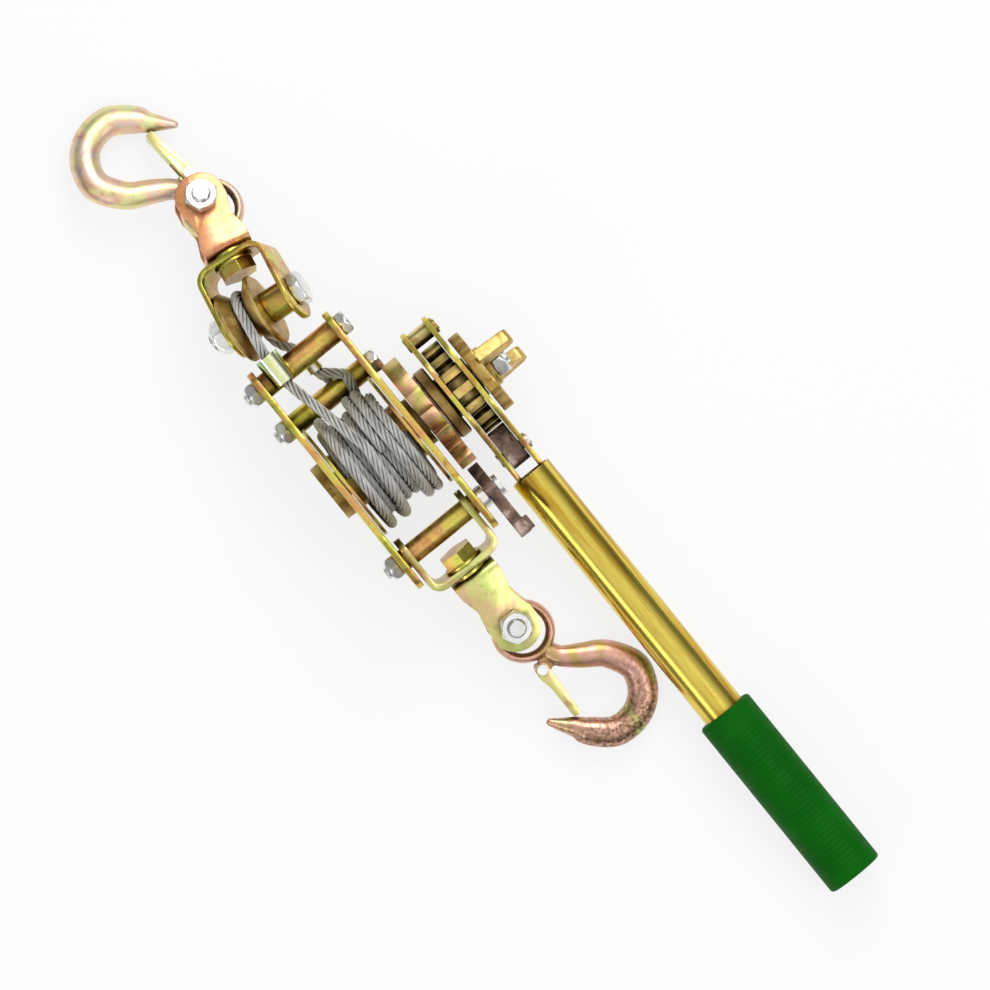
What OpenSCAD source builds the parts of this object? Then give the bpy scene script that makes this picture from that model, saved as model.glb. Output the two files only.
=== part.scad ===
/* [Frame] */
// Gap between the two side plates
frame_gap = 49.6; // [46:0.5:56]
// Thickness of a side plate
plate_t = 4; // [3:0.5:5]
// Half the depth of a side plate, which is also the height of the axle as it lies
axle_h = 38; // [38:0.5:44]
// Distance from the axle to the top spacer
top_x = 69; // [66:0.5:76]
// Distance from the axle to the middle spacer
mid_x = 42; // [41:0.5:45]
// Distance from the axle to the bottom spacer
bottom_x = 54.5; // [54:0.5:60]
// How far the side plates run on past the outer spacers
plate_end = 12; // [11:0.5:16]
// Height of the top spacer above the axle
top_z = 6; // [2:0.5:9]
// Height of the middle spacer below the axle
mid_drop = 15.5; // [15:0.5:20]
// Diameter of the top spacer
top_d = 14; // [13:0.5:16]
// Diameter of the middle spacer
mid_d = 13; // [12:0.5:14]
// Diameter of the bottom spacer, on which the yoke turns
bottom_d = 12.5; // [12:0.5:14]
// Shank diameter of the frame's through bolts
frame_bolt_d = 8; // [6:0.5:10]

/* [Drum and rope] */
// Diameter of the wire rope
rope_d = 6; // [4:0.5:6.5]
// Diameter of the drum's flanges
flange_d = 74.6; // [72:0.2:76]
// Thickness of a drum flange
flange_t = 2; // [1.5:0.25:3]
// Diameter of the drum shaft
shaft_d = 16; // [12:0.5:18]
// Turns of rope in the outer wound layer
outer_turns = 5; // [3:1:5]

/* [Rope guide] */
// Length of the guide sleeve
guide_len = 18; // [14:0.5:18]
// Outer diameter of the guide sleeve
guide_d = 14; // [12:0.5:16]
// Side offset of the guide from the middle of the frame
guide_y = -13.5; // [-16:0.5:-8]

/* [Ratchets] */
// Outer diameter of the holding ratchet
hold_d = 73; // [68:0.5:74]
// Width of the holding ratchet
hold_w = 10; // [8:0.5:12]
// Depth of a holding tooth
hold_depth = 5.5; // [4:0.5:6]
// Number of holding teeth
hold_teeth = 17; // [14:1:20]
// Diameter of the brake disc
brake_d = 45; // [40:0.5:50]
// Thickness of the brake disc
brake_t = 7.2; // [5:0.1:9]
// Outer diameter of the drive ratchet
drive_d = 58; // [56:0.5:59]
// Width of the drive ratchet
drive_w = 11.4; // [9:0.1:13]
// Depth of a drive tooth
drive_depth = 4.5; // [4:0.5:5]
// Number of drive teeth
drive_teeth = 16; // [16:2:16]

/* [Handle] */
// Thickness of a handle plate
handle_plate_t = 3; // [2.5:0.25:4]
// Distance from the axle to the end of the grip
grip_end = 349; // [300:1:420]
// Length of the grip
grip_len = 117; // [90:1:140]
// Diameter of the grip
grip_d = 33.4; // [30:0.2:36]
// Diameter of the handle tube
tube_d = 25; // [25:0.5:28]
// Wall of the handle tube
tube_wall = 1.5; // [1:0.25:2.5]
// Distance from the axle to the mouth of the handle tube
tube_start = 61; // [60:0.5:66]
// Distance from the axle to the rivet at the head of the handle
head_x = 36.5; // [36:0.5:40]
// Pitch of the ribs on the grip
rib_pitch = 3; // [2.5:0.25:5]
// Depth of the grooves between the ribs
rib_depth = 0.8; // [0.4:0.1:1.2]

/* [Brake knob] */
// Diameter over the lobes of the brake knob
knob_d = 51; // [46:0.5:56]
// Thickness of the brake knob's disc
knob_t = 7; // [5:0.5:9]
// Length of the knob's two wings
wing_len = 21; // [16:0.5:26]

/* [Hooks] */
// Radius of the hole in a hook's eye
eye_hole_r = 12.5; // [11:0.25:13]
// Radial width of the eye's ring
eye_ring_w = 5.5; // [4.5:0.25:7]
// Thickness of the eye's ring
eye_t = 10; // [9:0.25:11]
// Distance from the eye's centre to the bowl's centre
hook_len = 56.5; // [54:0.5:62]
// Inner radius of the bowl
bowl_r = 14.4; // [13:0.2:16]
// Width of the hook at the bowl
bowl_w = 17.2; // [15:0.2:19]
// Thickness of the hook at the bowl
bowl_t = 16.5; // [14:0.5:18]

/* [Forks and yoke] */
// Thickness of the fork straps
fork_t = 3.5; // [3:0.25:4]
// Gap between the ears of a fork
fork_gap = 13; // [12.5:0.25:16]
// Width of the fork straps
fork_w = 28; // [24:0.5:30]
// Base to bolt distance of the lower fork
fork_len_lower = 38.3; // [36:0.5:46]
// Base to bolt distance of the upper fork
fork_len_upper = 34; // [33:0.5:46]
// Diameter of the bolts through the hooks' eyes
hook_bolt_d = 10; // [8:0.5:11]
// Thickness of the yoke strap
yoke_t = 4; // [3:0.25:5]
// Width of the yoke strap
yoke_w = 20; // [16:0.5:22]
// Distance from the bottom spacer to the outer face of the yoke
yoke_len = 26.5; // [26:0.5:34]
// Diameter of the swivel bolts
swivel_d = 9; // [8:0.5:10]

/* [Block] */
// Diameter of the sheave
sheave_d = 43; // [40:0.5:44]
// Width of the sheave
sheave_w = 23; // [20:0.5:25]
// Radius of the rope's centre line on the sheave
sheave_rope_r = 15; // [14:0.5:16]
// Gap between the block's cheeks
block_gap = 38; // [36:0.5:44]
// Thickness of the cheek strap
cheek_t = 3; // [2.5:0.25:4]
// Distance from the sheave's centre to the outer face of the bridge
bridge_x = 36; // [35:0.5:42]
// Distance from the axle to the sheave's centre, along the frame
block_x = 103; // [103:0.5:112]
// Side offset of the sheave's centre
block_y = -6.5; // [-9:0.5:-5]
// Height of the sheave's centre above the axle
block_z = 3; // [0:0.5:8]

/* [Hidden] */
$fn = 48;

// Clearances: a running fit, a seat of pieces that don't move on each other, and a free gap
fit = 0.06;
seat = 0.02;
gap = 0.3;
// The origin lies under the middle of the whole winch, so the axle is set back from it
axle_x = -51.3;
axle_y = -30.7;

// Looks
zinc = "#c9b458";
zinc_pale = "#d6cf8a";
cast_gold = "#9c7a3c";
bright_steel = "#c8cacc";
dark_steel = "#6b5f54";
rope_steel = "#9a9c9e";
copper_zinc = "#c08f78";
grip_green = "#056408";

plate_in = frame_gap / 2;
plate_out = plate_in + plate_t;
rope_r = rope_d / 2;
rope_gap = 0.5;

// Drum radii, from the outside in: the last turn, the outer layer, the core of buried turns, the barrel
last_turn_r = axle_h - 0.6 - rope_r;
outer_layer_r = last_turn_r - rope_d - 1.1;
rings_a_turn = 24;
core_r = outer_layer_r * cos(180 / rings_a_turn) - rope_r - 0.02;
barrel_r = core_r - rope_d - rope_gap;
drum_in = plate_in - rope_gap - flange_t;

// Places along the axle
bearing_flange_t = 3;
bearing_flange_r = 15;
hold_y = plate_out + bearing_flange_t + gap;
washer_t = 1;
washer_y = hold_y + hold_w;
brake_y = washer_y + washer_t;
handle_in_y = brake_y + brake_t + 1;
drive_y = handle_in_y + handle_plate_t + 0.35;
handle_out_y = drive_y + drive_w + 0.35;
handle_y = (handle_in_y + handle_out_y + handle_plate_t) / 2;
hub_end_y = handle_out_y + handle_plate_t + 1;
knob_y = hub_end_y + gap;
nut_y = knob_y + knob_t + 3 + gap;
hub_r = 13;
bearing_r = 11;
cup_r = 17.5;
cup_out = 5.5;

// Handle
grip_r = grip_d / 2;
handle_droop = asin((axle_h - grip_r) / grip_end);
drive_pawl_x = drive_d / 2 + 16.6;

// Holding pawl: its bolt, and the steep face of the tooth that it holds
pawl_pin = [55, 16.5];
pawl_lift = 10;
pawl_face = -13;
pawl_y = hold_y + 1.7;
pawl_w = 7;
pawl_pin_r = 4;

// Hook and its latch, in the hook's own plane: the eye's centre is the zero
bowl_mid = bowl_r + bowl_w / 2;
hook_play = eye_hole_r - hook_bolt_d / 2 - gap;
latch_pin_at = [hook_len - 35.1, 10.2];
latch_pin_r = 2;
latch_lug_t = 5;
latch_t = 1.2;
latch_w = latch_lug_t + 2 * gap + 2 * latch_t;
fork_half = fork_gap / 2 + fork_t;
ear_r = 14.6;
fork_bend = fork_t + 2;
bend_relief = 0.4;

// The lower end hangs from the bottom spacer until the hook's bowl meets the floor
fork_gap_x = 2;
fork_base_lower = yoke_len + fork_gap_x;
bolt_lower = fork_base_lower + fork_len_lower;
hook_turn_lower = 13;
lower_reach = bolt_lower + (hook_play + hook_len) * cos(hook_turn_lower) + bowl_mid;
lower_droop = asin((axle_h - bowl_t / 2) / lower_reach);

// The upper end hangs from the sheave until its hook's bowl meets the floor. That hook lies a
// little rolled over, so its side reaches lower than half its thickness by the lean.
block_yaw = 10;
block_roll = 14;
fork_roll = -8;
hook_turn_upper = 30;
fork_base_upper = bridge_x + fork_gap_x;
bolt_upper = fork_base_upper + fork_len_upper;
upper_arm = hook_len - hook_play;
upper_reach = bolt_upper + upper_arm * cos(hook_turn_upper) + bowl_mid;
// The sheave runs close to the left cheek, so the block's own middle is off to the right of it
strap_y = (block_gap - sheave_w) / 2 - 0.5;
upper_lean = 0.7;
upper_drop = axle_h + block_z - bowl_t / 2 - upper_lean + strap_y * sin(block_roll)
    - upper_arm * sin(hook_turn_upper) * sin(fork_roll);
upper_droop = asin(upper_drop / upper_reach);
sheave_bolt_r = 6;
spacer_start = sheave_w / 2 + gap;

// Rope run: the guide stands on the top spacer
guide_z = top_z + top_d / 2 + guide_d / 2 - 0.6;
guide_bore_r = rope_r + 0.8;

// ---- Helpers -------------------------------------------------------------------------------

module at_axle() { translate([axle_x, axle_y, axle_h]) children(); }

// A cylinder along Y from y0 to y1
module along_y(r, y0, y1, x = 0, z = 0) {
    translate([x, y0, z]) rotate([-90, 0, 0]) cylinder(r = r, h = y1 - y0);
}

// A hexagon along Z, w across its flats
module hex(w, h) { cylinder(d = w / cos(30), h = h, $fn = 6); }

module hex_y(w, y0, y1, x = 0, z = 0) {
    translate([x, y0, z]) rotate([-90, 0, 0]) hex(w, y1 - y0);
}

// A plate in the XZ plane from y0 to y1, from a 2D outline
module plate_y(y0, y1) { translate([0, y1, 0]) rotate([90, 0, 0]) linear_extrude(y1 - y0) children(); }

function unit(v) = v / norm(v);
function polar(r, a) = r * [cos(a), sin(a)];
function turn_by(a0, a1) = ((a1 - a0 + 900) % 360) - 180;

// One rounded corner at p, between its neighbours a and b
function corner(p, a, b, r, n) =
    let (u = unit(a - p), v = unit(b - p), half = acos(u * v) / 2,
        c = p + unit(u + v) * r / sin(half), s = p + u * r / tan(half), e = p + v * r / tan(half),
        a0 = atan2(s[1] - c[1], s[0] - c[0]), da = turn_by(a0, atan2(e[1] - c[1], e[0] - c[0])))
    [for (i = [0:n]) c + polar(r, a0 + da * i / n)];

// A polygon with its corners rounded by the radii given
function rounded(pts, radii, n = 5) =
    let (k = len(pts))
    [for (i = [0:k - 1]) each radii[i] <= 0 ? [pts[i]]
        : corner(pts[i], pts[(i + k - 1) % k], pts[(i + 1) % k], radii[i], n)];

// A strap bent to a U: its base is at x1, its arms run from x0, and half is its outer half width
module bent_strap(x0, x1, half, t, r) {
    difference() {
        polygon(rounded([[x0, -half], [x1, -half], [x1, half], [x0, half]], [0, r, r, 0]));
        polygon(rounded([[x0 - 1, t - half], [x1 - t, t - half], [x1 - t, half - t], [x0 - 1, half - t]],
            [0, r - t + bend_relief, r - t + bend_relief, 0]));
    }
}

// A closed tube from rings of points, each with the same number of sides
module skin(rings) {
    n = len(rings[0]);
    m = len(rings);
    pts = [for (ring = rings) each ring];
    sides = [for (i = [0:m - 2], j = [0:n - 1])
        let (a = i * n + j, b = i * n + (j + 1) % n) each [[a, a + n, b], [b, a + n, b + n]]];
    start = [for (j = [1:n - 2]) [0, j, j + 1]];
    end = [for (j = [1:n - 2]) [(m - 1) * n, (m - 1) * n + j + 1, (m - 1) * n + j]];
    polyhedron(points = pts, faces = concat(sides, start, end), convexity = 6);
}

// Rings of radius r along a path that never runs along Y
function path_rings(path, r, n) =
    let (last = len(path) - 1)
    [for (i = [0:last])
        let (t = unit(path[min(i + 1, last)] - path[max(i - 1, 0)]),
            u = unit(cross(t, [0, 1, 0])), v = cross(t, u))
        [for (j = [0:n - 1]) path[i] + r * (cos(360 * j / n) * u + sin(360 * j / n) * v)]];

// A smooth curve through points, with k steps to each stretch
function smooth(p, k) =
    let (last = len(p) - 1)
    concat([for (i = [0:last - 1], s = [0:k - 1])
        let (t = s / k, a = p[max(i - 1, 0)], b = p[i], c = p[i + 1], d = p[min(i + 2, last)])
        0.5 * (2 * b + (c - a) * t + (2 * a - 5 * b + 4 * c - d) * t * t
            + (3 * b - a - 3 * c + d) * t * t * t)], [p[last]]);

function rot_x(p, a) = [p[0], p[1] * cos(a) - p[2] * sin(a), p[1] * sin(a) + p[2] * cos(a)];
function rot_y(p, a) = [p[0] * cos(a) + p[2] * sin(a), p[1], p[2] * cos(a) - p[0] * sin(a)];
function rot_z(p, a) = [p[0] * cos(a) - p[1] * sin(a), p[0] * sin(a) + p[1] * cos(a), p[2]];

// ---- Frame -----------------------------------------------------------------------------------

function plate_outline() =
    let (a = -top_x - plate_end + 1, b = bottom_x + 18)
    rounded([[a, top_z - 15], [-34, -axle_h], [38, -axle_h], [b, -18], [b, 22], [38, axle_h],
        [-34, axle_h], [a, top_z + 15]], [10, 16, 14, 9, 9, 14, 16, 10]);

module frame_plate(y0, pin_hole) {
    difference() {
        plate_y(y0, y0 + plate_t) polygon(plate_outline());
        along_y(bearing_r + seat, y0 - 1, y0 + plate_t + 1);
        along_y(frame_bolt_d / 2 + seat, y0 - 1, y0 + plate_t + 1, -top_x, top_z);
        along_y(frame_bolt_d / 2 + seat, y0 - 1, y0 + plate_t + 1, -mid_x, -mid_drop);
        along_y(frame_bolt_d / 2 + seat, y0 - 1, y0 + plate_t + 1, bottom_x);
        if (pin_hole) along_y(pawl_pin_r + seat, y0 - 1, y0 + plate_t + 1, pawl_pin[0], pawl_pin[1]);
    }
}

module frame_plate_left() { color(zinc) at_axle() frame_plate(-plate_out, false); }

module frame_plate_right() { color(zinc) at_axle() frame_plate(plate_in, true); }

module spacer_tube(d, x, z) {
    difference() {
        along_y(d / 2, -plate_in, plate_in, x, z);
        along_y(frame_bolt_d / 2 + seat, -plate_in - 1, plate_in + 1, x, z);
    }
}

module frame_spacers() {
    color(zinc) at_axle() {
        spacer_tube(top_d, -top_x, top_z);
        spacer_tube(mid_d, -mid_x, -mid_drop);
        spacer_tube(bottom_d, bottom_x, 0);
    }
}

// Heads lie on the handle's side. The bottom one is thin, to clear the holding pawl.
module frame_bolt(x, z, head) {
    nut_t = 6.5;
    along_y(frame_bolt_d / 2, -plate_out - nut_t - 2.5, plate_out + 1, x, z);
    hex_y(13, plate_out, plate_out + head, x, z);
}

module frame_bolts() {
    color(bright_steel) at_axle() {
        frame_bolt(-top_x, top_z, 6);
        frame_bolt(-mid_x, -mid_drop, 6);
        frame_bolt(bottom_x, 0, 4.5);
    }
}

module frame_nut(x, z) {
    difference() {
        hex_y(13, -plate_out - 6.5, -plate_out, x, z);
        along_y(frame_bolt_d / 2 + seat, -plate_out - 8, -plate_out + 1, x, z);
    }
}

module frame_nuts() {
    color(bright_steel) at_axle() {
        frame_nut(-top_x, top_z);
        frame_nut(-mid_x, -mid_drop);
        frame_nut(bottom_x, 0);
    }
}

// A short sleeve on the top spacer, hollowed below to seat on it
module rope_guide() {
    color(zinc_pale) at_axle() difference() {
        translate([guide_x, guide_y, guide_z]) rotate([0, 90, 0])
            cylinder(d = guide_d, h = guide_len, center = true);
        translate([guide_x, guide_y, guide_z]) rotate([0, 90, 0])
            cylinder(r = guide_bore_r, h = guide_len + 2, center = true);
        along_y(top_d / 2, -plate_in, plate_in, -top_x, top_z);
    }
}

// Left end of the drum: a cup pressed in the plate, with notches for a spanner
module drum_bearing_left() {
    color(cast_gold) at_axle() difference() {
        union() {
            along_y(bearing_r, -plate_out, -plate_in);
            along_y(cup_r, -plate_out - cup_out, -plate_out);
        }
        along_y(shaft_d / 2 + fit, -plate_out - cup_out + 2, -plate_in + 1);
        for (a = [0:90:270]) rotate([0, a, 0])
            translate([cup_r - 3.5, -plate_out - cup_out - 1, -2.5]) cube([6, 4, 5]);
    }
}

module drum_bearing_right() {
    color(cast_gold) at_axle() difference() {
        union() {
            along_y(bearing_r, plate_in, plate_out);
            along_y(bearing_flange_r, plate_out, plate_out + bearing_flange_t);
        }
        along_y(shaft_d / 2 + fit, plate_in - 1, plate_out + bearing_flange_t + 1);
    }
}

// Shouldered bolt of the holding pawl, with a spacer collar against the plate
module holding_pawl_bolt() {
    color(bright_steel) at_axle() {
        along_y(pawl_pin_r, plate_in + 0.5, pawl_y + pawl_w + 1, pawl_pin[0], pawl_pin[1]);
        along_y(6.5, plate_out, pawl_y - gap, pawl_pin[0], pawl_pin[1]);
        along_y(6.5, pawl_y + pawl_w + gap, pawl_y + pawl_w + 3, pawl_pin[0], pawl_pin[1]);
    }
}

// ---- Rope ------------------------------------------------------------------------------------

// From the sheave's own frame to the frame of the winch: droop, then yaw, about the sheave
function from_block(p) =
    rot_z(rot_y(rot_x(p, block_roll), -upper_droop), -block_yaw) + [-block_x, block_y, block_z];

// The lead leaves the last turn at the tangent that reaches the guide
guide_x = -top_x - 3.5;
guide_mouth = [guide_x + guide_len / 2, guide_z];
lead_angle = atan2(guide_mouth[1], guide_mouth[0]) - acos(last_turn_r / norm(guide_mouth));
lead_off = polar(last_turn_r, lead_angle);
last_turn_from = -110;
last_turn_y = [-14, -2];
turn_steps = 22;
last_turn = [for (i = [0:turn_steps])
    let (t = i / turn_steps, p = polar(last_turn_r, last_turn_from + (lead_angle - last_turn_from) * t))
    [p[0], last_turn_y[0] + (last_turn_y[1] - last_turn_y[0]) * t, p[1]]];
lead_mid = (lead_off + guide_mouth) / 2;
lead_run = smooth([last_turn[turn_steps], [lead_mid[0], (last_turn_y[1] + guide_y) / 2, lead_mid[1]],
    [guide_mouth[0], guide_y, guide_z], [guide_x - guide_len / 2, guide_y, guide_z],
    from_block([15.5, 0, sheave_rope_r]), from_block([8, 0, sheave_rope_r]),
    from_block([gap, 0, sheave_rope_r])], 3);

module rope_lead() {
    path = concat([for (i = [0:turn_steps - 1]) last_turn[i]], lead_run);
    color(rope_steel) at_axle() skin(path_rings(path, rope_r, 8));
}

// The far leg of the rope runs under the top spacer, through the ferrule and round the middle spacer
ferrule_at = [-64, 3.5, -15];
ferrule_len = 13;
ferrule_wall = 1.6;
leg_apart = rope_r + 0.25;
leg_end = ferrule_len / 2 + 1;
leg_up = [0, 0, leg_apart];
leg_out = [leg_end, 0, 0];
eye_path_r = mid_d / 2 + rope_r + 0.2;
mid_at = [-mid_x, 0, -mid_drop];
leg_high = ferrule_at + leg_out + leg_up - mid_at;
leg_low = ferrule_at + leg_out - leg_up - mid_at;
function tangent_turn(p) = acos(eye_path_r / norm([p[0], p[2]]));
eye_from = atan2(leg_high[2], leg_high[0]) - tangent_turn(leg_high);
eye_to = atan2(leg_low[2], leg_low[0]) + tangent_turn(leg_low);
eye_steps = 12;
eye_y = [15, 7];
eye_path = [for (i = [0:eye_steps])
    let (t = i / eye_steps, p = polar(eye_path_r, eye_from + (eye_to - eye_from) * t))
    [p[0] - mid_x, eye_y[0] + (eye_y[1] - eye_y[0]) * t, p[1] - mid_drop]];

module rope_return() {
    run_in = smooth([from_block([gap, 0, -sheave_rope_r]), from_block([6, 0, -sheave_rope_r]),
        from_block([16, 3, -sheave_rope_r - 0.5]), ferrule_at - leg_out + leg_up], 4);
    path = concat(run_in, [ferrule_at + leg_out + leg_up], eye_path, [ferrule_at + leg_out - leg_up,
        ferrule_at - leg_out - leg_up - [3, 0, 0]]);
    color(rope_steel) at_axle() skin(path_rings(path, rope_r, 8));
}

// Pressed sleeve over both legs of the rope's eye
module rope_ferrule() {
    color(bright_steel) at_axle() translate(ferrule_at - [ferrule_len / 2, 0, 0]) rotate([0, 90, 0])
        difference() {
            union() {
                for (s = [-1, 1]) translate([s * leg_apart, 0, 0])
                    cylinder(r = rope_r + ferrule_wall, h = ferrule_len);
                translate([-leg_apart, -rope_r - ferrule_wall, 0])
                    cube([2 * leg_apart, 2 * (rope_r + ferrule_wall), ferrule_len]);
            }
            for (s = [-1, 1]) translate([s * leg_apart, 0, -1])
                cylinder(r = rope_r + seat, h = ferrule_len + 2);
        }
}

// ---- Drum, shaft and ratchets ----------------------------------------------------------------

module drum_barrel() {
    color(zinc) at_axle() difference() {
        along_y(barrel_r, -drum_in, drum_in);
        along_y(shaft_d / 2 + seat, -drum_in - 1, drum_in + 1);
    }
}

module drum_flange(y0) {
    difference() {
        along_y(flange_d / 2, y0, y0 + flange_t);
        along_y(shaft_d / 2 + seat, y0 - 1, y0 + flange_t + 1);
    }
}

module drum_flange_left() { color(zinc) at_axle() drum_flange(-drum_in - flange_t); }

module drum_flange_right() { color(zinc) at_axle() drum_flange(drum_in); }

// The buried turns, as one plain sleeve between the flanges
module rope_core() {
    color(rope_steel) at_axle() difference() {
        along_y(core_r, -drum_in, drum_in);
        along_y(barrel_r + seat, -drum_in - 1, drum_in + 1);
    }
}

// The outer layer, laid from left to right at a steady step
wind_side = drum_in - rope_r - 0.4;
wind_from = 90;
function wind_at(t) = let (p = polar(outer_layer_r, wind_from + 360 * t))
    [p[0], wind_side * (2 * t / outer_turns - 1), p[1]];
wound = [for (i = [0:outer_turns * rings_a_turn]) wind_at(i / rings_a_turn)];
wound_last = len(wound) - 1;
wind_path = concat([wound[0] - rope_d * unit(wound[1] - wound[0])], wound,
    [wound[wound_last] + rope_d * unit(wound[wound_last] - wound[wound_last - 1])]);
// Least gap of the winding to itself, measured between points that are over half a turn apart
half_turn = rings_a_turn / 2;
wind_gap = min([for (i = [0:3:wound_last - half_turn], j = [i + half_turn:wound_last])
    norm(wound[i] - wound[j])]) - rope_d;
echo(wind_gap = wind_gap);

module rope_winding() { color(rope_steel) at_axle() skin(path_rings(wind_path, rope_r, 6)); }

module drum_shaft() {
    color(bright_steel) at_axle() {
        along_y(shaft_d / 2, -plate_out - cup_out + 2.5, nut_y - gap);
        along_y(shaft_d / 2 - 2, nut_y - gap, nut_y + 10);
    }
}

// Sawtooth ring: each tooth rises along its back and drops at a radial face
function saw_points() =
    let (a = 360 / hold_teeth, r = hold_d / 2, k = 4)
    [for (i = [0:hold_teeth - 1]) each
        [for (s = [0:k]) polar(r - hold_depth + hold_depth * s / k, pawl_face + a * (i - 1 + s / k))]];

module holding_ratchet() {
    color(zinc) at_axle() difference() {
        plate_y(hold_y, hold_y + hold_w) polygon(saw_points());
        along_y(shaft_d / 2 + seat, hold_y - 1, hold_y + hold_w + 1);
    }
}

// Thin lining between the holding ratchet and the brake disc
module friction_washer() {
    color(dark_steel) at_axle() difference() {
        along_y(brake_d / 2 - 1, washer_y, washer_y + washer_t);
        along_y(shaft_d / 2 + seat, washer_y - 1, washer_y + washer_t + 1);
    }
}

module brake_disc() {
    color(cast_gold) at_axle() difference() {
        rotate([-90, 0, 0]) rotate_extrude() polygon([[0, brake_y], [brake_d / 2 - 1, brake_y],
            [brake_d / 2, brake_y + 1], [brake_d / 2, brake_y + brake_t - 1],
            [brake_d / 2 - 1, brake_y + brake_t], [0, brake_y + brake_t]]);
        along_y(shaft_d / 2 + seat, brake_y - 1, brake_y + brake_t + 1);
    }
}

// Square teeth, with one tooth pointing along the handle, and hubs that carry the handle's plates
function gear_points() =
    let (a = 360 / drive_teeth, r = drive_d / 2, root = r - drive_depth)
    [for (i = [0:drive_teeth - 1]) each
        [polar(root, a * (i - 0.27)), polar(r, a * (i - 0.23)), polar(r, a * i), polar(r, a * (i + 0.23)),
            polar(root, a * (i + 0.27)), polar(root, a * (i + 0.5))]];

module drive_ratchet() {
    color(cast_gold) at_axle() rotate([0, handle_droop, 0]) difference() {
        union() {
            plate_y(drive_y, drive_y + drive_w) polygon(gear_points());
            along_y(hub_r, brake_y + brake_t, hub_end_y);
        }
        along_y(shaft_d / 2 + seat, brake_y, hub_end_y + 1);
    }
}

module shaft_nut() {
    color(bright_steel) at_axle() difference() {
        hex_y(19, nut_y, nut_y + 8);
        along_y(shaft_d / 2 - 2 + seat, nut_y - 1, nut_y + 9);
    }
}

// Cast knob: a lobed disc, a raised hub and two wings that stand outwards
wing_angle = 110;

module knob_wing() {
    y = knob_y + knob_t;
    translate([0, 0, -3.8]) linear_extrude(7.6) polygon(rounded([[11.8, y - 1], [13, y + wing_len],
        [21, y + wing_len + 1], [knob_d / 2 - 1, y - 1]], [0, 3.5, 3.5, 0]));
}

module brake_knob() {
    lobe_r = 6.5;
    color(cast_gold) at_axle() difference() {
        union() {
            along_y(knob_d / 2 - 3, knob_y, knob_y + knob_t);
            for (a = [0:60:300]) along_y(lobe_r, knob_y, knob_y + knob_t,
                (knob_d / 2 - lobe_r) * cos(a), (knob_d / 2 - lobe_r) * sin(a));
            along_y(12.5, knob_y + knob_t - 1, knob_y + knob_t + 3);
            for (a = [0, 180]) rotate([0, -wing_angle - a, 0]) knob_wing();
        }
        along_y(shaft_d / 2 + fit, knob_y - 1, nut_y + 1);
    }
}

// Forged pawl: nose against the tooth's face, a boss on the bolt and a tail with its thumb tab.
// It rests lifted clear of the teeth, so it is drawn engaged and turned back about its bolt.
module holding_pawl() {
    tip = hold_d / 2 - hold_depth + 2.6;
    // The nose swings past the tooth's tip, so its corner keeps nearer to the bolt than that tip
    sweep_r = norm(pawl_pin - polar(hold_d / 2, pawl_face)) - gap;
    pin_r = norm(pawl_pin);
    corner = atan2(pawl_pin[1], pawl_pin[0])
        - acos((tip * tip + pin_r * pin_r - sweep_r * sweep_r) / (2 * tip * pin_r));
    nose = [polar(tip, corner), polar(tip + 7, pawl_face + 0.5), [58, pawl_pin[1] - 8.5],
        [62, pawl_pin[1] - 5], [85, pawl_pin[1] + 1], [88, pawl_pin[1] + 6], [86, pawl_pin[1] + 9],
        [66, pawl_pin[1] + 6], [56, pawl_pin[1] + 8.9], [47.5, pawl_pin[1] + 2],
        polar(tip + 1.4, pawl_face + 8)];
    color(dark_steel) at_axle() translate([pawl_pin[0], 0, pawl_pin[1]]) rotate([0, -pawl_lift, 0])
        translate([-pawl_pin[0], 0, -pawl_pin[1]]) difference() {
            union() {
                plate_y(pawl_y, pawl_y + pawl_w) polygon(nose);
                along_y(9, pawl_y, pawl_y + pawl_w, pawl_pin[0], pawl_pin[1]);
                translate([79, pawl_y, pawl_pin[1] + 3.2]) cube([8, pawl_w + 3, 5]);
            }
            along_y(pawl_pin_r + fit, pawl_y - 1, pawl_y + pawl_w + 1, pawl_pin[0], pawl_pin[1]);
        }
}

// ---- Handle ----------------------------------------------------------------------------------

module in_handle() { at_axle() rotate([0, handle_droop, 0]) children(); }

tube_r = tube_d / 2;
tube_in = tube_r - tube_wall;
// Half depth at which the plates just enter the bore of the tube
plate_half_y = handle_out_y + handle_plate_t - handle_y;
tang_half = sqrt(tube_in * tube_in - plate_half_y * plate_half_y) - 0.05;
handle_pin_r = 3;

module handle_plate(y0) {
    w = drive_d / 2 + 1.5;
    difference() {
        plate_y(y0, y0 + handle_plate_t) polygon(rounded([[-head_x - 7, -8], [-22, -w], [16, -w],
            [46, -13], [tube_start - 1, -tang_half], [tube_start + 16, -tang_half],
            [tube_start + 16, tang_half], [tube_start - 1, tang_half], [46, 13], [16, w], [-22, w],
            [-head_x - 7, 8]], [7, 16, 18, 6, 0, 1, 1, 0, 6, 18, 16, 7]));
        along_y(hub_r + fit, y0 - 1, y0 + handle_plate_t + 1);
        along_y(handle_pin_r + seat, y0 - 1, y0 + handle_plate_t + 1, -head_x);
        along_y(handle_pin_r + seat, y0 - 1, y0 + handle_plate_t + 1, drive_pawl_x);
    }
}

module handle_plate_inner() { color(zinc) in_handle() handle_plate(handle_in_y); }

module handle_plate_outer() { color(zinc) in_handle() handle_plate(handle_out_y); }

module handle_spacer() {
    color(zinc_pale) in_handle() difference() {
        along_y(5, handle_in_y + handle_plate_t, handle_out_y, -head_x);
        along_y(handle_pin_r + seat, handle_in_y, handle_out_y + 1, -head_x);
    }
}

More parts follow.
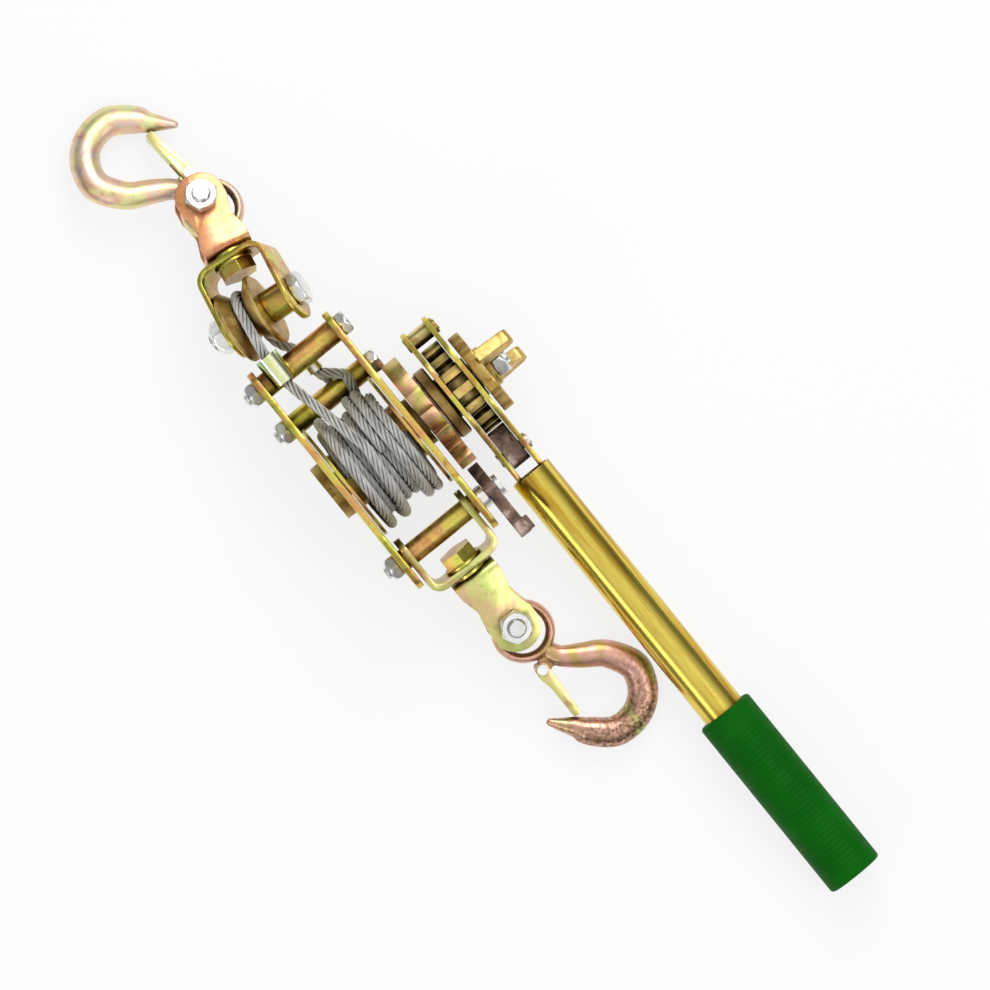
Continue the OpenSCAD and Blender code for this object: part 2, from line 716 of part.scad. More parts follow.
module handle_rivet(x, cap) {
    y0 = handle_in_y;
    y1 = handle_out_y + handle_plate_t;
    along_y(handle_pin_r, y0, y1, x);
    along_y(cap, y0 - 0.9, y0, x);
    along_y(cap + 0.5, y1, y1 + 1.5, x);
    along_y(cap - 1, y1 + 1.5, y1 + 2.3, x);
}

module handle_rivets() { color(zinc) in_handle() handle_rivet(-head_x, 4.5); }

module drive_pawl_bolt() { color(bright_steel) in_handle() handle_rivet(drive_pawl_x, 4.5); }

module handle_tube() {
    color(zinc) in_handle() translate([tube_start, handle_y, 0]) rotate([0, 90, 0]) difference() {
        cylinder(r = tube_r, h = grip_end - 5 - tube_start);
        translate([0, 0, -1]) cylinder(r = tube_in, h = grip_end - 3 - tube_start);
    }
}

// Moulded grip: ribs between a smooth collar and a closed end, with smooth strips down both sides
module handle_grip() {
    collar = 14;
    ribs = floor((grip_len - collar - 12) / rib_pitch);
    profile = concat([[0, 0], [grip_r - 1.5, 0], [grip_r, 1.5]],
        [for (i = [0:ribs - 1]) let (x = 8 + i * rib_pitch) each [[grip_r, x], [grip_r - rib_depth, x + 0.6],
            [grip_r - rib_depth, x + 1.2], [grip_r, x + 1.8]]],
        [[grip_r, grip_len - 1.5], [grip_r - 1.5, grip_len], [0, grip_len]]);
    color(grip_green) in_handle() translate([grip_end, handle_y, 0]) rotate([0, -90, 0]) difference() {
        union() {
            rotate_extrude() polygon(profile);
            for (a = [90, 270]) rotate([0, 0, a]) translate([0, 0, 5]) linear_extrude(grip_len - 10)
                polygon(concat([[grip_r - 3, 0]], [for (b = [-14:7:14]) polar(grip_r, b)]));
        }
        translate([0, 0, 5]) cylinder(r = tube_r + seat, h = grip_len);
    }
}

// Reversible pawl: two noses that face the drive ratchet, resting clear of its teeth
module drive_pawl() {
    w0 = drive_y - 0.05;
    nose_x = 16;
    nose_z = 11;
    body = rounded([[-nose_x, -nose_z], [-nose_x + 4.5, -nose_z - 1.2], [7, -7], [9, 0], [7, 7],
        [-nose_x + 4.5, nose_z + 1.2], [-nose_x, nose_z], [-nose_x + 2.5, nose_z - 3.5], [-8.5, 0],
        [-nose_x + 2.5, -nose_z + 3.5]], [0.6, 2, 4, 6, 4, 2, 0.6, 0.6, 3, 0.6]);
    color(dark_steel) in_handle() translate([drive_pawl_x, 0, 0]) difference() {
        plate_y(w0, drive_y + drive_w + 0.05) polygon(body);
        along_y(handle_pin_r + fit, w0 - 1, drive_y + drive_w + 1);
    }
}

// ---- Hooks and latches -----------------------------------------------------------------------

// Stations down the hook, from the eye's ring to the tip: along, across, width, thickness.
// Across is negative on the back and positive at the tip.
function hook_stations() =
    let (h = hook_len, m = bowl_mid, w = bowl_w, t = bowl_t)
    concat([[h - 41.5, 0.5, 8, eye_t - 2], [h - 38, 0, 11, eye_t - 0.6], [h - 31, -2, 12, eye_t + 1],
        [h - 22, -0.41 * m, w - 3, t - 3], [h - 12, -0.8 * m, w - 1.5, t - 1.2]],
        [for (a = [-82:24:38]) [h + m * cos(a), m * sin(a), w, t]],
        [[h + 0.3 * m, 0.95 * m, w - 1.6, t - 1.5], [h + 1, 1.04 * m, w - 5, t - 4],
        [h - 6, 1.2 * m, w - 9, t - 8], [h - 12.5, 1.34 * m, 4.6, 4.6]]);

// Rings of oval sections along the stations; the tip is on the -Y side
module hook_body() {
    k = 2;
    n = 12;
    s = hook_stations();
    mid = smooth([for (p = s) [p[0], -p[1], 0]], k);
    size = smooth([for (p = s) [p[2], p[3], 0]], k);
    last = len(mid) - 1;
    rings = [for (i = [0:last])
        let (t = unit(mid[min(i + 1, last)] - mid[max(i - 1, 0)]), u = cross([0, 0, 1], t))
        [for (j = [0:n - 1]) mid[i] + size[i][0] / 2 * cos(360 * j / n) * u
            + [0, 0, size[i][1] / 2 * sin(360 * j / n)]]];
    skin(rings);
}

// The eye's ring has an oval section, flatter on its two faces
module hook_eye() {
    rotate_extrude() translate([eye_hole_r + eye_ring_w / 2, 0])
        polygon([for (i = [0:11]) let (a = 30 * i + 15)
            [eye_ring_w / 2 * cos(a) / cos(15), eye_t / 2 * sin(a) / cos(15)]]);
}

module hook() {
    lug = latch_pin_at;
    difference() {
        union() {
            hook_body();
            hook_eye();
            translate([lug[0], -lug[1], -latch_lug_t / 2]) cylinder(r = 4, h = latch_lug_t);
            translate([lug[0] - 4, -lug[1], -latch_lug_t / 2]) cube([8, lug[1] - 1, latch_lug_t]);
        }
        translate([lug[0], -lug[1], -latch_lug_t]) cylinder(r = latch_pin_r + seat, h = 2 * latch_lug_t);
    }
}

module latch_pin() {
    translate([latch_pin_at[0], -latch_pin_at[1], 0]) {
        cylinder(r = latch_pin_r, h = latch_w + 0.8, center = true);
        for (s = [-1, 1]) translate([0, 0, s * (latch_w / 2 + gap / 2 + 0.6)])
            cylinder(r = 3.1, h = 1, center = true);
    }
}

// A bent channel: two ears on the pin and a blade that shuts against the inside of the tip
latch_reach = 32.5;
latch_swing = -13.5;

module latch() {
    side = [[-4.2, -3], [3.5, -4.2], [12, -2.6], [latch_reach, -2.4], [latch_reach, 2.2],
        [12, 3.4], [-3, 4.2]];
    translate([latch_pin_at[0], -latch_pin_at[1], 0]) rotate([0, 0, latch_swing]) difference() {
        translate([0, 0, -latch_w / 2]) linear_extrude(latch_w)
            polygon(rounded(side, [2.5, 2, 4, 1.2, 1.2, 6, 3]));
        translate([-9, -9, -latch_w / 2 + latch_t]) cube([9 + 12, 18, latch_w - 2 * latch_t]);
        translate([11, -9, -latch_w / 2 + latch_t]) cube([latch_reach, 9 - 0.6, latch_w - 2 * latch_t]);
        cylinder(r = latch_pin_r + fit, h = 2 * latch_w, center = true);
    }
}

// ---- Forks and swivels -----------------------------------------------------------------------

// A strap bent round the swivel bolt, with its base at 0 and its ears towards +X
module fork(len) {
    w = fork_w / 2;
    difference() {
        intersection() {
            translate([0, w, 0]) rotate([90, 0, 0]) linear_extrude(fork_w) mirror([1, 0])
                bent_strap(-len - ear_r - 1, 0, fork_half, fork_t, fork_bend);
            translate([0, 0, -fork_half]) linear_extrude(2 * fork_half) union() {
                polygon(rounded([[-1, -w], [8, -w], [len * 0.55, -w + 3], [len, -ear_r], [len, ear_r],
                    [len * 0.55, w - 3], [8, w], [-1, w]], [0, 6, 12, 0, 0, 12, 6, 0]));
                translate([len, 0]) circle(r = ear_r);
            }
        }
        rotate([0, 90, 0]) translate([0, 0, -1]) cylinder(d = swivel_d + 2 * seat, h = fork_t + 2);
        translate([len, 0, -fork_half - 1]) cylinder(d = hook_bolt_d + 2 * seat, h = 2 * fork_half + 2);
    }
}

hook_nut_t = 8;

module hook_bolt() {
    translate([0, 0, -fork_half]) cylinder(d = hook_bolt_d, h = 2 * fork_half + hook_nut_t + 2.5);
    translate([0, 0, -fork_half - 6.4]) hex(17, 6.4);
}

module hook_nut() {
    difference() {
        translate([0, 0, fork_half]) intersection() {
            hex(17, hook_nut_t);
            cylinder(r1 = 10.6, r2 = 8.9, h = hook_nut_t);
        }
        translate([0, 0, fork_half - 1]) cylinder(d = hook_bolt_d + 2 * seat, h = hook_nut_t + 2);
    }
}

// Swivel bolt along X: its head bears inside a strap that ends at 0, and it is peened inside the fork
peen_r = fork_gap / 2 - gap;
// The peened head widens over the height of the fork's inner bend
peen_rise = fork_bend - fork_t + bend_relief;

module swivel_bolt(strap) {
    rotate([0, 90, 0]) {
        translate([0, 0, -strap - gap - 1.5])
            cylinder(d = swivel_d, h = strap + gap + 1.5 + fork_gap_x + fork_t + 1);
        translate([0, 0, -strap - gap - 8.5]) hex(19, 7);
        translate([0, 0, -strap - gap - 1.5]) cylinder(r = 11.5, h = 1.5);
        translate([0, 0, fork_gap_x + fork_t]) {
            cylinder(r1 = swivel_d / 2, r2 = peen_r, h = peen_rise);
            translate([0, 0, peen_rise]) cylinder(r = peen_r, h = 1.1);
        }
    }
}

module swivel_washer() {
    rotate([0, 90, 0]) translate([0, 0, gap]) difference() {
        cylinder(r = 11, h = fork_gap_x - gap - seat);
        translate([0, 0, -1]) cylinder(d = swivel_d + 2 * seat, h = fork_gap_x + 2);
    }
}

// ---- Lower end -------------------------------------------------------------------------------

// Local frame of the lower end: from the bottom spacer, along the way that it hangs
module in_lower() { at_axle() translate([bottom_x, 0, 0]) rotate([0, lower_droop, 0]) children(); }

module in_lower_hook() {
    in_lower() translate([bolt_lower, 0, 0]) rotate([0, 0, hook_turn_lower])
        translate([hook_play, 0, 0]) children();
}

yoke_half = frame_gap / 2 - 1.3;
yoke_eye = 11.5;

module yoke() {
    color(zinc_pale) in_lower() difference() {
        intersection() {
            translate([0, 0, -yoke_w / 2]) linear_extrude(yoke_w)
                bent_strap(-yoke_eye - 1, yoke_len, yoke_half, yoke_t, 8);
            plate_y(-yoke_half, yoke_half) union() {
                circle(r = yoke_eye);
                polygon([[0, -yoke_eye], [12, -yoke_w / 2], [yoke_len + 1, -yoke_w / 2],
                    [yoke_len + 1, yoke_w / 2], [12, yoke_w / 2], [0, yoke_eye]]);
            }
        }
        along_y(bottom_d / 2 + fit, -yoke_half - 1, yoke_half + 1);
        translate([yoke_len - yoke_t - 1, 0, 0]) rotate([0, 90, 0])
            cylinder(d = swivel_d + 2 * fit, h = yoke_t + 2);
    }
}

module swivel_bolt_lower() { color(bright_steel) in_lower() translate([yoke_len, 0, 0]) swivel_bolt(yoke_t); }

module swivel_washer_lower() { color(zinc) in_lower() translate([yoke_len, 0, 0]) swivel_washer(); }

module fork_lower() { color(zinc_pale) in_lower() translate([fork_base_lower, 0, 0]) fork(fork_len_lower); }

module hook_bolt_lower() { color(bright_steel) in_lower() translate([bolt_lower, 0, 0]) hook_bolt(); }

module hook_nut_lower() { color(bright_steel) in_lower() translate([bolt_lower, 0, 0]) hook_nut(); }

module hook_lower() { color(copper_zinc) in_lower_hook() hook(); }

module latch_pin_lower() { color(bright_steel) in_lower_hook() latch_pin(); }

module latch_lower() { color(zinc_pale) in_lower_hook() latch(); }

// ---- Upper end: block, sheave and hook -------------------------------------------------------

// Local frame of the block: the sheave's centre, with the hook towards -X
module in_block() {
    at_axle() translate([-block_x, block_y, block_z]) rotate([0, 0, -block_yaw])
        rotate([0, -upper_droop, 0]) rotate([block_roll, 0, 0]) children();
}

// Local frame of the upper fork: from the outer face of the bridge, towards the hook along +X
module in_upper() {
    in_block() translate([-bridge_x, strap_y, 0]) rotate([fork_roll - block_roll, 0, 0])
        rotate([0, 0, 180]) children();
}

module in_upper_hook() {
    in_upper() translate([bolt_upper - bridge_x, 0, 0]) rotate([0, 0, hook_turn_upper])
        translate([-hook_play, 0, 0]) children();
}

block_half = block_gap / 2 + cheek_t;

module block_cheeks() {
    w = 13;
    cheek_r = 16.5;
    color(zinc) in_block() difference() {
        intersection() {
            translate([0, strap_y, -20]) linear_extrude(40) mirror([1, 0])
                bent_strap(-cheek_r - 1, bridge_x, block_half, cheek_t, 9);
            plate_y(strap_y - block_half, strap_y + block_half) union() {
                circle(r = cheek_r);
                polygon([[-bridge_x - 1, -w], [-bridge_x + 8, -w], [2 - cheek_r * 0.3, -cheek_r * 0.98],
                    [2 - cheek_r * 0.3, cheek_r * 0.98], [-bridge_x + 8, w], [-bridge_x - 1, w]]);
            }
        }
        along_y(sheave_bolt_r + seat, strap_y - block_half - 1, strap_y + block_half + 1);
        translate([-bridge_x - 1, strap_y, 0]) rotate([0, 90, 0])
            cylinder(d = swivel_d + 2 * fit, h = cheek_t + 2);
    }
}

sheave_hex = 18;
sheave_head_t = 7;
sheave_nut_t = 8.5;
sheave_bolt_end = 11;

module sheave_bolt() {
    color(bright_steel) in_block() {
        along_y(sheave_bolt_r, strap_y - block_half - sheave_bolt_end, strap_y + block_half + 1);
        hex_y(sheave_hex, strap_y + block_half, strap_y + block_half + sheave_head_t);
    }
}

module sheave_nut() {
    color(bright_steel) in_block() difference() {
        hex_y(sheave_hex, strap_y - block_half - sheave_nut_t, strap_y - block_half);
        along_y(sheave_bolt_r + seat, strap_y - block_half - sheave_nut_t - 1.5, strap_y - block_half + 1);
    }
}

module sheave_spacer() {
    color(zinc) in_block() difference() {
        along_y(9.5, spacer_start, strap_y + block_gap / 2);
        along_y(sheave_bolt_r + seat, spacer_start - 1, strap_y + block_gap / 2 + 1);
    }
}

// Two rims with a rounded groove between them that opens outwards
groove_r = rope_r + 0.35;
rim_w = 2.6;

module sheave() {
    r = sheave_d / 2;
    h = sheave_w / 2;
    color(cast_gold) in_block() difference() {
        rotate([-90, 0, 0]) rotate_extrude() polygon(concat(
            [[0, -h], [r - 1, -h], [r, -h + 1], [r, -h + rim_w], [sheave_rope_r, -groove_r]],
            [for (a = [-75:15:75]) [sheave_rope_r - groove_r * cos(a), groove_r * sin(a)]],
            [[sheave_rope_r, groove_r], [r, h - rim_w], [r, h - 1], [r - 1, h], [0, h]]));
        along_y(sheave_bolt_r + fit, -h - 1, h + 1);
    }
}

// The rope's half turn round the side of the sheave that faces the hook
module rope_turn() {
    color(rope_steel) in_block() rotate([90, 0, 0]) rotate([0, 0, 90]) rotate_extrude(angle = 180)
        translate([sheave_rope_r, 0]) circle(r = rope_r);
}

module swivel_bolt_upper() { color(zinc) in_upper() swivel_bolt(cheek_t); }

module swivel_washer_upper() { color(zinc) in_upper() swivel_washer(); }

module fork_upper() { color(zinc_pale) in_upper() translate([fork_gap_x, 0, 0]) fork(fork_len_upper); }

module at_upper_bolt() { in_upper() translate([bolt_upper - bridge_x, 0, 0]) children(); }

module hook_bolt_upper() { color(bright_steel) at_upper_bolt() hook_bolt(); }

module hook_nut_upper() { color(bright_steel) at_upper_bolt() hook_nut(); }

module hook_upper() { color(zinc_pale) in_upper_hook() hook(); }

module latch_pin_upper() { color(bright_steel) in_upper_hook() latch_pin(); }

module latch_upper() { color(zinc_pale) in_upper_hook() latch(); }

frame_plate_left();
frame_plate_right();
frame_spacers();
frame_bolts();
frame_nuts();
rope_guide();
drum_bearing_left();
drum_bearing_right();
holding_pawl_bolt();
rope_ferrule();
rope_lead();
rope_return();
drum_barrel();
drum_flange_left();
drum_flange_right();
rope_core();
rope_winding();
drum_shaft();
holding_ratchet();
friction_washer();
brake_disc();
drive_ratchet();
shaft_nut();
brake_knob();
holding_pawl();
handle_plate_inner();
handle_plate_outer();
handle_spacer();
handle_rivets();
handle_tube();
handle_grip();
drive_pawl_bolt();
drive_pawl();
yoke();
swivel_bolt_lower();
swivel_washer_lower();
fork_lower();
hook_bolt_lower();
hook_nut_lower();
hook_lower();
latch_pin_lower();
latch_lower();
block_cheeks();
sheave_bolt();
sheave_nut();
sheave_spacer();
rope_turn();
sheave();
swivel_bolt_upper();
swivel_washer_upper();
fork_upper();
hook_bolt_upper();
hook_nut_upper();
hook_upper();
latch_pin_upper();
latch_upper();
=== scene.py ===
"""Hand cable winch: looks and fine pieces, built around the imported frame."""

import math

import bmesh
import bpy
import numpy as np
from mathutils import Matrix, Vector


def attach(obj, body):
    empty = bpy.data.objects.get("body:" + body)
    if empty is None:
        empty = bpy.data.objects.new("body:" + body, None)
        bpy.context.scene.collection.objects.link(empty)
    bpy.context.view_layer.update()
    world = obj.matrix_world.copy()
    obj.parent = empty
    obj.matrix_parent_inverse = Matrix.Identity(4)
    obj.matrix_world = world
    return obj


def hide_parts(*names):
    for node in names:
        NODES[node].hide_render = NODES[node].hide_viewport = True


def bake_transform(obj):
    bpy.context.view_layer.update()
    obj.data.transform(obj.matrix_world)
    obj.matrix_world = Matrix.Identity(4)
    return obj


bl_info = {
    "name": "Hand Cable Winch",
    "version": (1, 0, 0),
    "blender": (4, 5, 0),
    "location": "View3D > Sidebar > Winch",
    "description": "Builds the plated, forged and rope pieces of a hand lever cable winch",
    "category": "Object",
}

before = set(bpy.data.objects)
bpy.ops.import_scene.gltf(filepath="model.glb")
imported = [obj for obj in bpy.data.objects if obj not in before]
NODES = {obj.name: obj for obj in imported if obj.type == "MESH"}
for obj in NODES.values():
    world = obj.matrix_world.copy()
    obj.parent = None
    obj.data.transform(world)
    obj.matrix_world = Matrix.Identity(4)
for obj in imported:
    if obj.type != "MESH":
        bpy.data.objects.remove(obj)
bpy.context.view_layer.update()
MM = 0.001


def extent(node):
    """Lowest and highest corner of a frame node, in millimetres."""
    corners = [NODES[node].matrix_world @ Vector(c) / MM for c in NODES[node].bound_box]
    return Vector(map(min, *corners)), Vector(map(max, *corners))


# ---- Places, in millimetres, as the frame has them ------------------------------------------------

AXLE = Vector((-51.3, -30.7, 38.0))
FRAME_GAP = 49.6
PLATE_T = 4.0
PLATE_OUT = FRAME_GAP / 2 + PLATE_T
ROPE_R = 3.0
LAST_TURN_R = 34.4
OUTER_LAYER_R = 27.3
BURIED_LAYER_R = OUTER_LAYER_R - 2 * ROPE_R + 0.4
TOP_LAYER_R = OUTER_LAYER_R + 6.6
DRUM_IN = FRAME_GAP / 2 - 0.5 - 2.0
TOP_SPACER = (-69.0, 6.0)
MIDDLE_SPACER = (-42.0, -15.5)
BOTTOM_SPACER = (54.5, 0.0)
SHEAVE_AT = (-103.0, -6.5, 3.0)
SHEAVE_ROPE_R = 15.0
BLOCK_YAW, BLOCK_ROLL, FORK_ROLL = 10.0, 14.0, -8.0
UPPER_DROOP, LOWER_DROOP, HANDLE_DROOP = 15.6627, 11.2970, 3.4995
STRAP_Y = 7.0
BLOCK_HALF = 22.0
BRIDGE_X = 36.0
YOKE_LEN = 26.5
FORK_HALF = 10.0
FORK_LEN_LOWER, FORK_LEN_UPPER = 38.3, 34.0
HOOK_PLAY = 7.2
HOOK_LEN = 56.5
HOOK_TURN_LOWER, HOOK_TURN_UPPER = 13.0, 30.0
BOWL_R, BOWL_W, BOWL_T = 14.4, 17.2, 16.5
EYE_HOLE_R, EYE_RING_W, EYE_T = 12.5, 5.5, 10.0
LATCH_PIN = (HOOK_LEN - 35.1, 10.2)
GRIP_END, GRIP_LEN, GRIP_R = 349.0, 117.0, 16.7
HANDLE_Y = sum(corner.y for corner in extent("handle_tube")) / 2 - AXLE.y
NUT_Y = extent("shaft_nut")[0].y - AXLE.y


def turn(degrees, axis):
    return Matrix.Rotation(math.radians(degrees), 4, axis)


def shift(x=0.0, y=0.0, z=0.0):
    return Matrix.Translation((x, y, z))


AT_AXLE = Matrix.Translation(AXLE)
IN_HANDLE = AT_AXLE @ turn(HANDLE_DROOP, "Y")
IN_LOWER = AT_AXLE @ shift(BOTTOM_SPACER[0]) @ turn(LOWER_DROOP, "Y")
LOWER_BOLT = IN_LOWER @ shift(YOKE_LEN + 2 + FORK_LEN_LOWER)
IN_LOWER_HOOK = LOWER_BOLT @ turn(HOOK_TURN_LOWER, "Z") @ shift(HOOK_PLAY)
IN_BLOCK = (AT_AXLE @ shift(*SHEAVE_AT) @ turn(-BLOCK_YAW, "Z") @ turn(-UPPER_DROOP, "Y")
            @ turn(BLOCK_ROLL, "X"))
IN_UPPER = IN_BLOCK @ shift(-BRIDGE_X, STRAP_Y) @ turn(FORK_ROLL - BLOCK_ROLL, "X") @ turn(180, "Z")
UPPER_BOLT = IN_UPPER @ shift(2 + FORK_LEN_UPPER)
IN_UPPER_HOOK = UPPER_BOLT @ turn(HOOK_TURN_UPPER, "Z") @ shift(-HOOK_PLAY)
# +Z of these runs along the drum's shaft, towards the brake knob
ALONG_SHAFT = turn(-90, "X")


# ---- Meshes ----------------------------------------------------------------------------------------


def loft(rings, closed=False):
    """Points and faces through rings of equal count; closed joins the last ring to the first."""
    rings = np.asarray(rings, float)
    count, sides = rings.shape[:2]
    points = rings.reshape(-1, 3)
    faces = []
    for i in range(count if closed else count - 1):
        k = (i + 1) % count
        for j in range(sides):
            m = (j + 1) % sides
            faces.append((i * sides + j, i * sides + m, k * sides + m, k * sides + j))
    if not closed:
        faces.append(tuple(reversed(range(sides))))
        faces.append(tuple((count - 1) * sides + j for j in range(sides)))
    return points, faces


def placed(part, matrix):
    points, faces = part
    m = np.array(matrix)
    return points @ m[:3, :3].T + m[:3, 3], faces


def make_object(name, parts, smooth_angle=40.0):
    """One mesh object from parts in millimetres, in the frame's own place."""
    points, faces, base = [], [], 0
    for part_points, part_faces in parts:
        points.append(part_points)
        faces += [tuple(base + i for i in face) for face in part_faces]
        base += len(part_points)
    mesh = bpy.data.meshes.new(name)
    mesh.from_pydata((np.vstack(points) * MM).tolist(), [], faces)
    mesh.update()
    work = bmesh.new()
    work.from_mesh(mesh)
    bmesh.ops.recalc_face_normals(work, faces=work.faces)
    work.to_mesh(mesh)
    work.free()
    obj = bpy.data.objects.new(name, mesh)
    bpy.context.scene.collection.objects.link(obj)
    shade(obj, smooth_angle)
    return obj


def shade(obj, angle):
    mesh = obj.data
    mesh.polygons.foreach_set("use_smooth", [True] * len(mesh.polygons))
    mesh.set_sharp_from_angle(angle=math.radians(angle))
    mesh.update()


def bake_modifiers(obj):
    """Puts the result of an object's modifiers into its mesh."""
    bpy.context.view_layer.update()
    graph = bpy.context.evaluated_depsgraph_get()
    mesh = bpy.data.meshes.new_from_object(obj.evaluated_get(graph))
    obj.modifiers.clear()
    obj.data = mesh


def seat_piece(obj, body, material, slot, *nodes):
    """Gives a piece its finish, its body and the frame nodes that it stands for."""
    obj.data.materials.clear()
    obj.data.materials.append(material)
    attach(obj, body)
    if nodes:
        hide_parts(*nodes)


def copy_of(node, name):
    mesh = NODES[node].data.copy()
    mesh.name = name
    obj = bpy.data.objects.new(name, mesh)
    bpy.context.scene.collection.objects.link(obj)
    work = bmesh.new()
    work.from_mesh(mesh)
    bmesh.ops.remove_doubles(work, verts=work.verts, dist=2e-6)
    work.to_mesh(mesh)
    work.free()
    return obj


def broken_edges(node, name, width):
    """A pressed or cut piece with its sharp edges rounded by width."""
    obj = copy_of(node, name)
    work = bmesh.new()
    work.from_mesh(obj.data)
    bmesh.ops.dissolve_limit(
        work, angle_limit=math.radians(1.0), verts=work.verts, edges=work.edges
    )
    work.to_mesh(obj.data)
    work.free()
    bevel = obj.modifiers.new("edges", "BEVEL")
    bevel.width = width * MM
    bevel.segments = 2
    bevel.limit_method = "ANGLE"
    bevel.angle_limit = math.radians(32)
    bevel.use_clamp_overlap = True
    bake_modifiers(obj)
    shade(obj, 34)
    return obj


def cast_form(obj, voxel, rounds):
    """Melts a piece's edges and joins together, as casting or forging leaves them."""
    remesh = obj.modifiers.new("melt", "REMESH")
    remesh.mode = "VOXEL"
    remesh.voxel_size = voxel * MM
    soften = obj.modifiers.new("soften", "SMOOTH")
    soften.iterations = rounds
    soften.factor = 0.5
    bake_modifiers(obj)
    shade(obj, 180)
    return obj


# ---- Turned and threaded shapes, along +Z ---------------------------------------------------------

ROUND = 48
# Radius, pitch, width across flats and height of nut of the threads in use
M8, M10, M12 = (4.0, 1.25, 13, 6.5), (5.0, 1.5, 17, 8), (6.0, 1.75, 18, 8.5)
SHAFT_NUT_FLATS, SHAFT_NUT_HEIGHT = 19, 8
NUT_PLAY = 0.02


def circle(radius, z, sides=ROUND):
    a = np.linspace(0, 2 * math.pi, sides, endpoint=False)
    r = radius(a) if callable(radius) else np.full(sides, float(radius))
    return np.column_stack([r * np.cos(a), r * np.sin(a), np.full(sides, z)])


def hex_radius(flats, cap):
    """Radius of a hexagon at each angle, held inside the round of its chamfer."""
    def radius(a):
        local = (a + math.pi / 6) % (math.pi / 3) - math.pi / 6
        return np.minimum(flats / 2 / np.cos(local), cap)
    return radius


def hex_rings(flats, low, high):
    """Rings of a hexagon that is chamfered at both ends."""
    corner = flats / math.sqrt(3)
    steps = [(0.0, 0.955), (0.35, 1.0), (0.8, 1.05), (1.5, 1.12), (2.2, 1.16)]
    caps = [(d, min(corner, flats / 2 * k)) for d, k in steps]
    start = [(low + d, c) for d, c in caps]
    end = [(high - d, c) for d, c in reversed(caps)]
    return [circle(hex_radius(flats, c), z) for z, c in start + end]


def hex_nut(flats, height, bore):
    rings = hex_rings(flats, 0, height)
    bores = [circle(bore + 0.5, height), circle(bore, height - 0.6), circle(bore, 0.6), circle(bore + 0.5, 0)]
    return loft(rings + bores, closed=True)


def thread_rings(radius, low, high, pitch):
    """Rings of a screw thread from low to high, with a chamfered end at high."""
    depth = pitch * 0.54
    count = max(4, int((high - low) / pitch * 8))
    rings = []
    for i in range(count + 1):
        z = low + (high - low) * i / count
        fade = min(1.0, (high - z) / pitch + 0.15, (z - low) / pitch + 0.1)

        def radius_at(a, z=z, fade=fade):
            phase = (z / pitch - a / (2 * math.pi)) % 1.0
            return radius - depth * np.abs(2 * phase - 1) * fade - (1 - min(1.0, (high - z) / 0.8)) * 0.7
        rings.append(circle(radius_at, z))
    return rings


def threaded_end(radius, low, high, pitch):
    return loft(thread_rings(radius, low, high, pitch))


def hex_head(flats, height):
    return loft(hex_rings(flats, 0, height))


def rod(radius, low, high, edge=0.4):
    return loft([circle(radius - edge, low), circle(radius, low + edge),
                 circle(radius, high - edge), circle(radius - edge, high)])


# ---- Materials -------------------------------------------------------------------------------------


